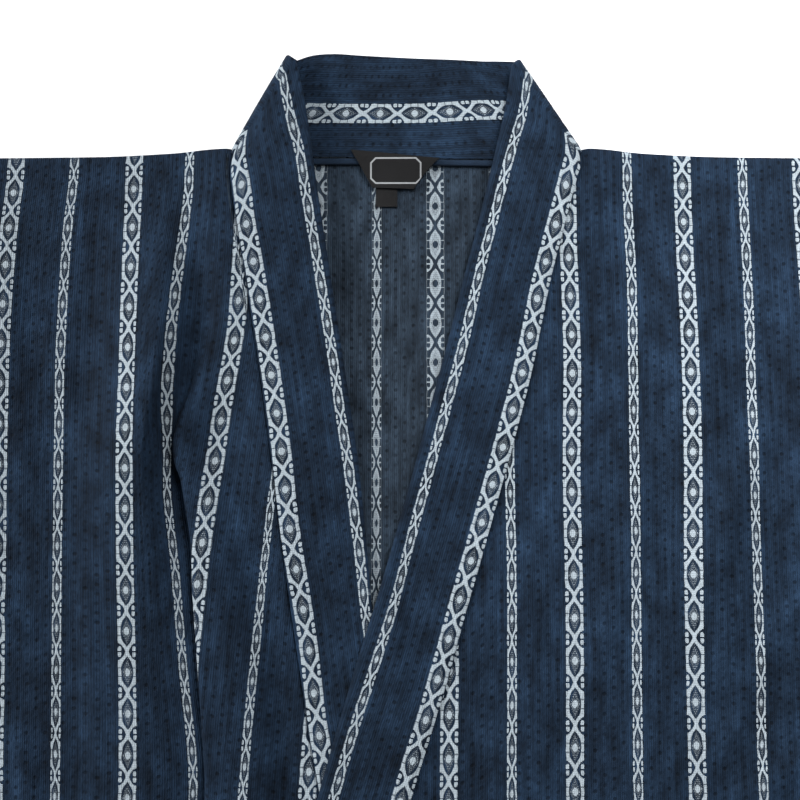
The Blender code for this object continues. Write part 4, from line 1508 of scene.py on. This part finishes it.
def cuff_line(side, inside):
    """A stitch line round the upper layer of a cuff."""
    x = side * (CUFF_X - inside)
    return [place(x, y, z + STITCH_ABOVE) for y, z, out in sleeve_ring(x)
            if out > EDGE_REACH and y > row_y(x, 0.0) - SLEEVE_DEPTH + EDGE_REACH]


def a_length(name, description, size, least):
    """A setting for a length, given in millimetres."""
    return FloatProperty(
        name=name, description=description, default=size * MM, min=least * MM, unit="LENGTH"
    )


def a_power(name, description, power):
    return FloatProperty(name=name, description=description, default=power, min=0.0, unit="POWER")


def a_colour(name, description, colour):
    return FloatVectorProperty(
        name=name, description=description, subtype="COLOR", size=4, default=(*colour, 1.0)
    )


class JinbeiWeave(bpy.types.PropertyGroup):
    """The cloth's stripes and colours."""

    stripe_spacing: a_length(
        "Stripe Spacing", "From the middle of one stripe to the next", STRIPE_SPACING, 10
    )
    repeat: a_length("Repeat", "From one diamond to the next along a stripe", REPEAT, 5)
    wide_half: a_length("Wide Stripe Half Width", "Half the width of a wide stripe", 4.65, 1)
    narrow_half: a_length("Narrow Stripe Half Width", "Half the width of a narrow stripe", 2.5, 0.5)
    ground: a_colour("Ground", "Colour of the navy ground", (0.0065, 0.0145, 0.0290))
    inside: a_colour("Wrong Side Ground", "Colour of the ground on the wrong side", (0.0142, 0.0226, 0.0345))
    white: a_colour("White", "Colour of the white threads", (0.300, 0.350, 0.388))
    thread: a_colour("Sewing Thread", "Colour of the sewing thread", (0.02, 0.036, 0.075))
    label: a_colour("Label", "Colour of the label's ribbon", (0.0065, 0.0066, 0.0072))
    label_line: a_colour("Label Frame", "Colour of the label's plain woven frame", (0.27, 0.28, 0.29))


class JinbeiSewing(bpy.types.PropertyGroup):
    """The stitches along hems and edges."""

    pitch: a_length("Pitch", "From one stitch to the next", 3.4, 1)
    length: a_length("Length", "Length of a stitch", 2.6, 0.5)
    width: a_length("Width", "Width of the thread", 0.5, 0.1)
    hem_inside: a_length("Hem Line", "How far inside the hem's edge its stitches run", 17.5, 2)


class JinbeiStage(bpy.types.PropertyGroup):
    """The floor, the light and the camera."""

    camera_away: a_length("Camera Distance", "How far the camera is from the jacket", 800, 200)
    camera_tilt: FloatProperty(
        name="Camera Tilt", description="How far the camera leans from straight above, towards the hem",
        default=math.radians(7.0), subtype="ANGLE", unit="ROTATION",
    )
    field: a_length("Field", "Width of what the camera sees, at its distance", 432, 50)
    key_power: a_power("Key Light", "Power of the large soft light at the left", 74.0)
    near_power: a_power("Near Light", "Power of the soft light over the upper right", 2.4)
    sky: FloatProperty(
        name="Sky", description="Strength of the even light from all round", default=0.32, min=0.0,
    )
    floor_tone: FloatProperty(
        name="Floor Tone", description="How pale the floor is", default=0.86, min=0.0, max=1.0,
    )


# The finishes that the first operator makes and the others use, by name
FINISHES = {}


class JINBEI_OT_finishes(bpy.types.Operator):
    """Make the cloth's finishes"""

    bl_idname = "jinbei.finishes"
    bl_label = "Make Finishes"

    def execute(self, context):
        weave = context.scene.jinbei_weave
        stripe_figure_group(weave)
        FINISHES["right side"] = striped_cotton("striped_cotton", weave)
        FINISHES["wrong side"] = striped_cotton("striped_cotton_wrong_side", weave, wrong_side=True)
        FINISHES["plain"] = plain_cotton("navy_cotton", weave.ground)
        FINISHES["thread"] = plain_cotton("navy_thread", weave.thread)
        FINISHES["label"] = label_satin("label_satin", weave.label, weave.label_line)
        FINISHES["tab"] = label_satin("tab_satin", weave.label)
        return {"FINISHED"}


class JINBEI_OT_back(bpy.types.Operator):
    """Make the back panel and the bound seam at the neck"""

    bl_idname = "jinbei.back"
    bl_label = "Make Back"

    def execute(self, context):
        make_back(FINISHES)
        return {"FINISHED"}


class JINBEI_OT_fronts(bpy.types.Operator):
    """Make both fronts, with the stitches along their hems and edges"""

    bl_idname = "jinbei.fronts"
    bl_label = "Make Fronts"

    def execute(self, context):
        make_fronts(FINISHES, context.scene.jinbei_sewing)
        return {"FINISHED"}


class JINBEI_OT_band(bpy.types.Operator):
    """Make the doubled collar band"""

    bl_idname = "jinbei.band"
    bl_label = "Make Collar Band"

    def execute(self, context):
        make_band(FINISHES)
        return {"FINISHED"}


class JINBEI_OT_sleeves(bpy.types.Operator):
    """Make both sleeves and the stitches round their cuffs"""

    bl_idname = "jinbei.sleeves"
    bl_label = "Make Sleeves"

    def execute(self, context):
        for word, side in (("right", -1), ("left", 1)):
            make_sleeve(word, side, FINISHES, context.scene.jinbei_sewing)
        return {"FINISHED"}


class JINBEI_OT_ties(bpy.types.Operator):
    """Make the two ties that lie on the fronts"""

    bl_idname = "jinbei.ties"
    bl_label = "Make Ties"

    def execute(self, context):
        make_tie("left", LEFT_TIE, FINISHES)
        make_tie("right", RIGHT_TIE, FINISHES)
        return {"FINISHED"}


class JINBEI_OT_label(bpy.types.Operator):
    """Make the bare neck label and the small tab under it"""

    bl_idname = "jinbei.label"
    bl_label = "Make Label"

    def execute(self, context):
        make_ribbon("neck_ribbon", NECK_LABEL, "neck_label", FINISHES["label"])
        make_ribbon("tab_ribbon", SIZE_TAB, "size_tab", FINISHES["tab"])
        return {"FINISHED"}


class JINBEI_OT_stage(bpy.types.Operator):
    """Set the pale floor, the soft light and the camera"""

    bl_idname = "jinbei.stage"
    bl_label = "Set Stage"

    def execute(self, context):
        scene = context.scene
        stage = scene.jinbei_stage
        set_floor(stage)
        set_light(scene, stage)
        set_camera(scene, stage)
        return {"FINISHED"}


# The place that the camera looks at, and the floor, in the tables' millimetres
LOOKED_AT = (-4.3, -136.87, 0.0)
FLOOR_HALF = 6000.0
FLOOR_BELOW = 0.2
FLOOR_PARTS = 8

# The camera's sensor in millimetres, and the lamps' sizes and places in metres
SENSOR = 36.0
KEY_SIZE = 0.9
KEY_PLACE = (-1.9, 0.85, 0.95)
NEAR_SIZE = 0.5
NEAR_PLACE = (0.36, 0.62, 0.62)
NEAR_AIM = (0.22, 0.22, 0.0)
NEAR_SPREAD = math.radians(70)
SKY_COLOUR = (0.96, 0.98, 1.0, 1.0)


def set_floor(stage):
    bm = bmesh.new()
    bmesh.ops.create_grid(bm, x_segments=FLOOR_PARTS, y_segments=FLOOR_PARTS, size=FLOOR_HALF * MM)
    bmesh.ops.translate(bm, verts=bm.verts, vec=(0.0, 0.0, -FLOOR_BELOW * MM))
    mesh = bpy.data.meshes.new("floor")
    bm.to_mesh(mesh)
    bm.free()
    mesh.materials.append(floor_finish(stage.floor_tone))
    new_object("floor", mesh)


def add_lamp(name, power, size, at, aim):
    """A soft lamp that faces a place."""
    light = bpy.data.lights.new(name, "AREA")
    light.energy = power
    light.size = size
    lamp = new_object(name, light)
    lamp.location = at
    lamp.rotation_euler = (Vector(aim) - Vector(at)).to_track_quat("-Z", "Y").to_euler()
    return lamp


def set_light(scene, stage):
    add_lamp("key_light", stage.key_power, KEY_SIZE, KEY_PLACE, place(*LOOKED_AT))
    near = add_lamp("near_light", stage.near_power, NEAR_SIZE, NEAR_PLACE, NEAR_AIM)
    near.data.spread = NEAR_SPREAD
    world = bpy.data.worlds.new("even_sky")
    world.use_nodes = True
    sky = world.node_tree.nodes["Background"].inputs
    sky["Color"].default_value = SKY_COLOUR
    sky["Strength"].default_value = stage.sky
    scene.world = world
    scene.view_settings.view_transform = "Standard"
    scene.view_settings.look = "None"


def set_camera(scene, stage):
    camera = bpy.data.cameras.new("camera")
    camera.sensor_width = SENSOR
    camera.lens = SENSOR * stage.camera_away / stage.field
    rig = new_object("camera", camera)
    away = Vector((0.0, -math.sin(stage.camera_tilt), math.cos(stage.camera_tilt)))
    rig.location = place(*LOOKED_AT) + away * stage.camera_away
    rig.rotation_euler = (stage.camera_tilt, 0.0, 0.0)
    scene.camera = rig


STEPS = [
    JINBEI_OT_finishes, JINBEI_OT_stage, JINBEI_OT_back, JINBEI_OT_fronts, JINBEI_OT_band,
    JINBEI_OT_sleeves, JINBEI_OT_ties, JINBEI_OT_label,
]
SETTINGS = {"jinbei_weave": JinbeiWeave, "jinbei_sewing": JinbeiSewing, "jinbei_stage": JinbeiStage}


class JINBEI_PT_sidebar(bpy.types.Panel):
    """The jacket's settings and steps"""

    bl_idname = "JINBEI_PT_sidebar"
    bl_label = "Jinbei Jacket"
    bl_space_type = "VIEW_3D"
    bl_region_type = "UI"
    bl_category = "Jinbei"

    def draw(self, context):
        for name in SETTINGS:
            settings = getattr(context.scene, name)
            box = self.layout.box()
            for prop in settings.bl_rna.properties:
                if prop.identifier not in {"rna_type", "name"}:
                    box.prop(settings, prop.identifier)
        for step in STEPS:
            self.layout.operator(step.bl_idname)


CLASSES = [*SETTINGS.values(), *STEPS, JINBEI_PT_sidebar]


def register():
    for cls in CLASSES:
        bpy.utils.register_class(cls)
    for name, cls in SETTINGS.items():
        setattr(bpy.types.Scene, name, PointerProperty(type=cls))


def unregister():
    for name in SETTINGS:
        delattr(bpy.types.Scene, name)
    for cls in reversed(CLASSES):
        bpy.utils.unregister_class(cls)


def main():
    register()
    for step in STEPS:
        group, action = step.bl_idname.split(".")
        getattr(getattr(bpy.ops, group), action)()


if __name__ == "__main__":
    main()
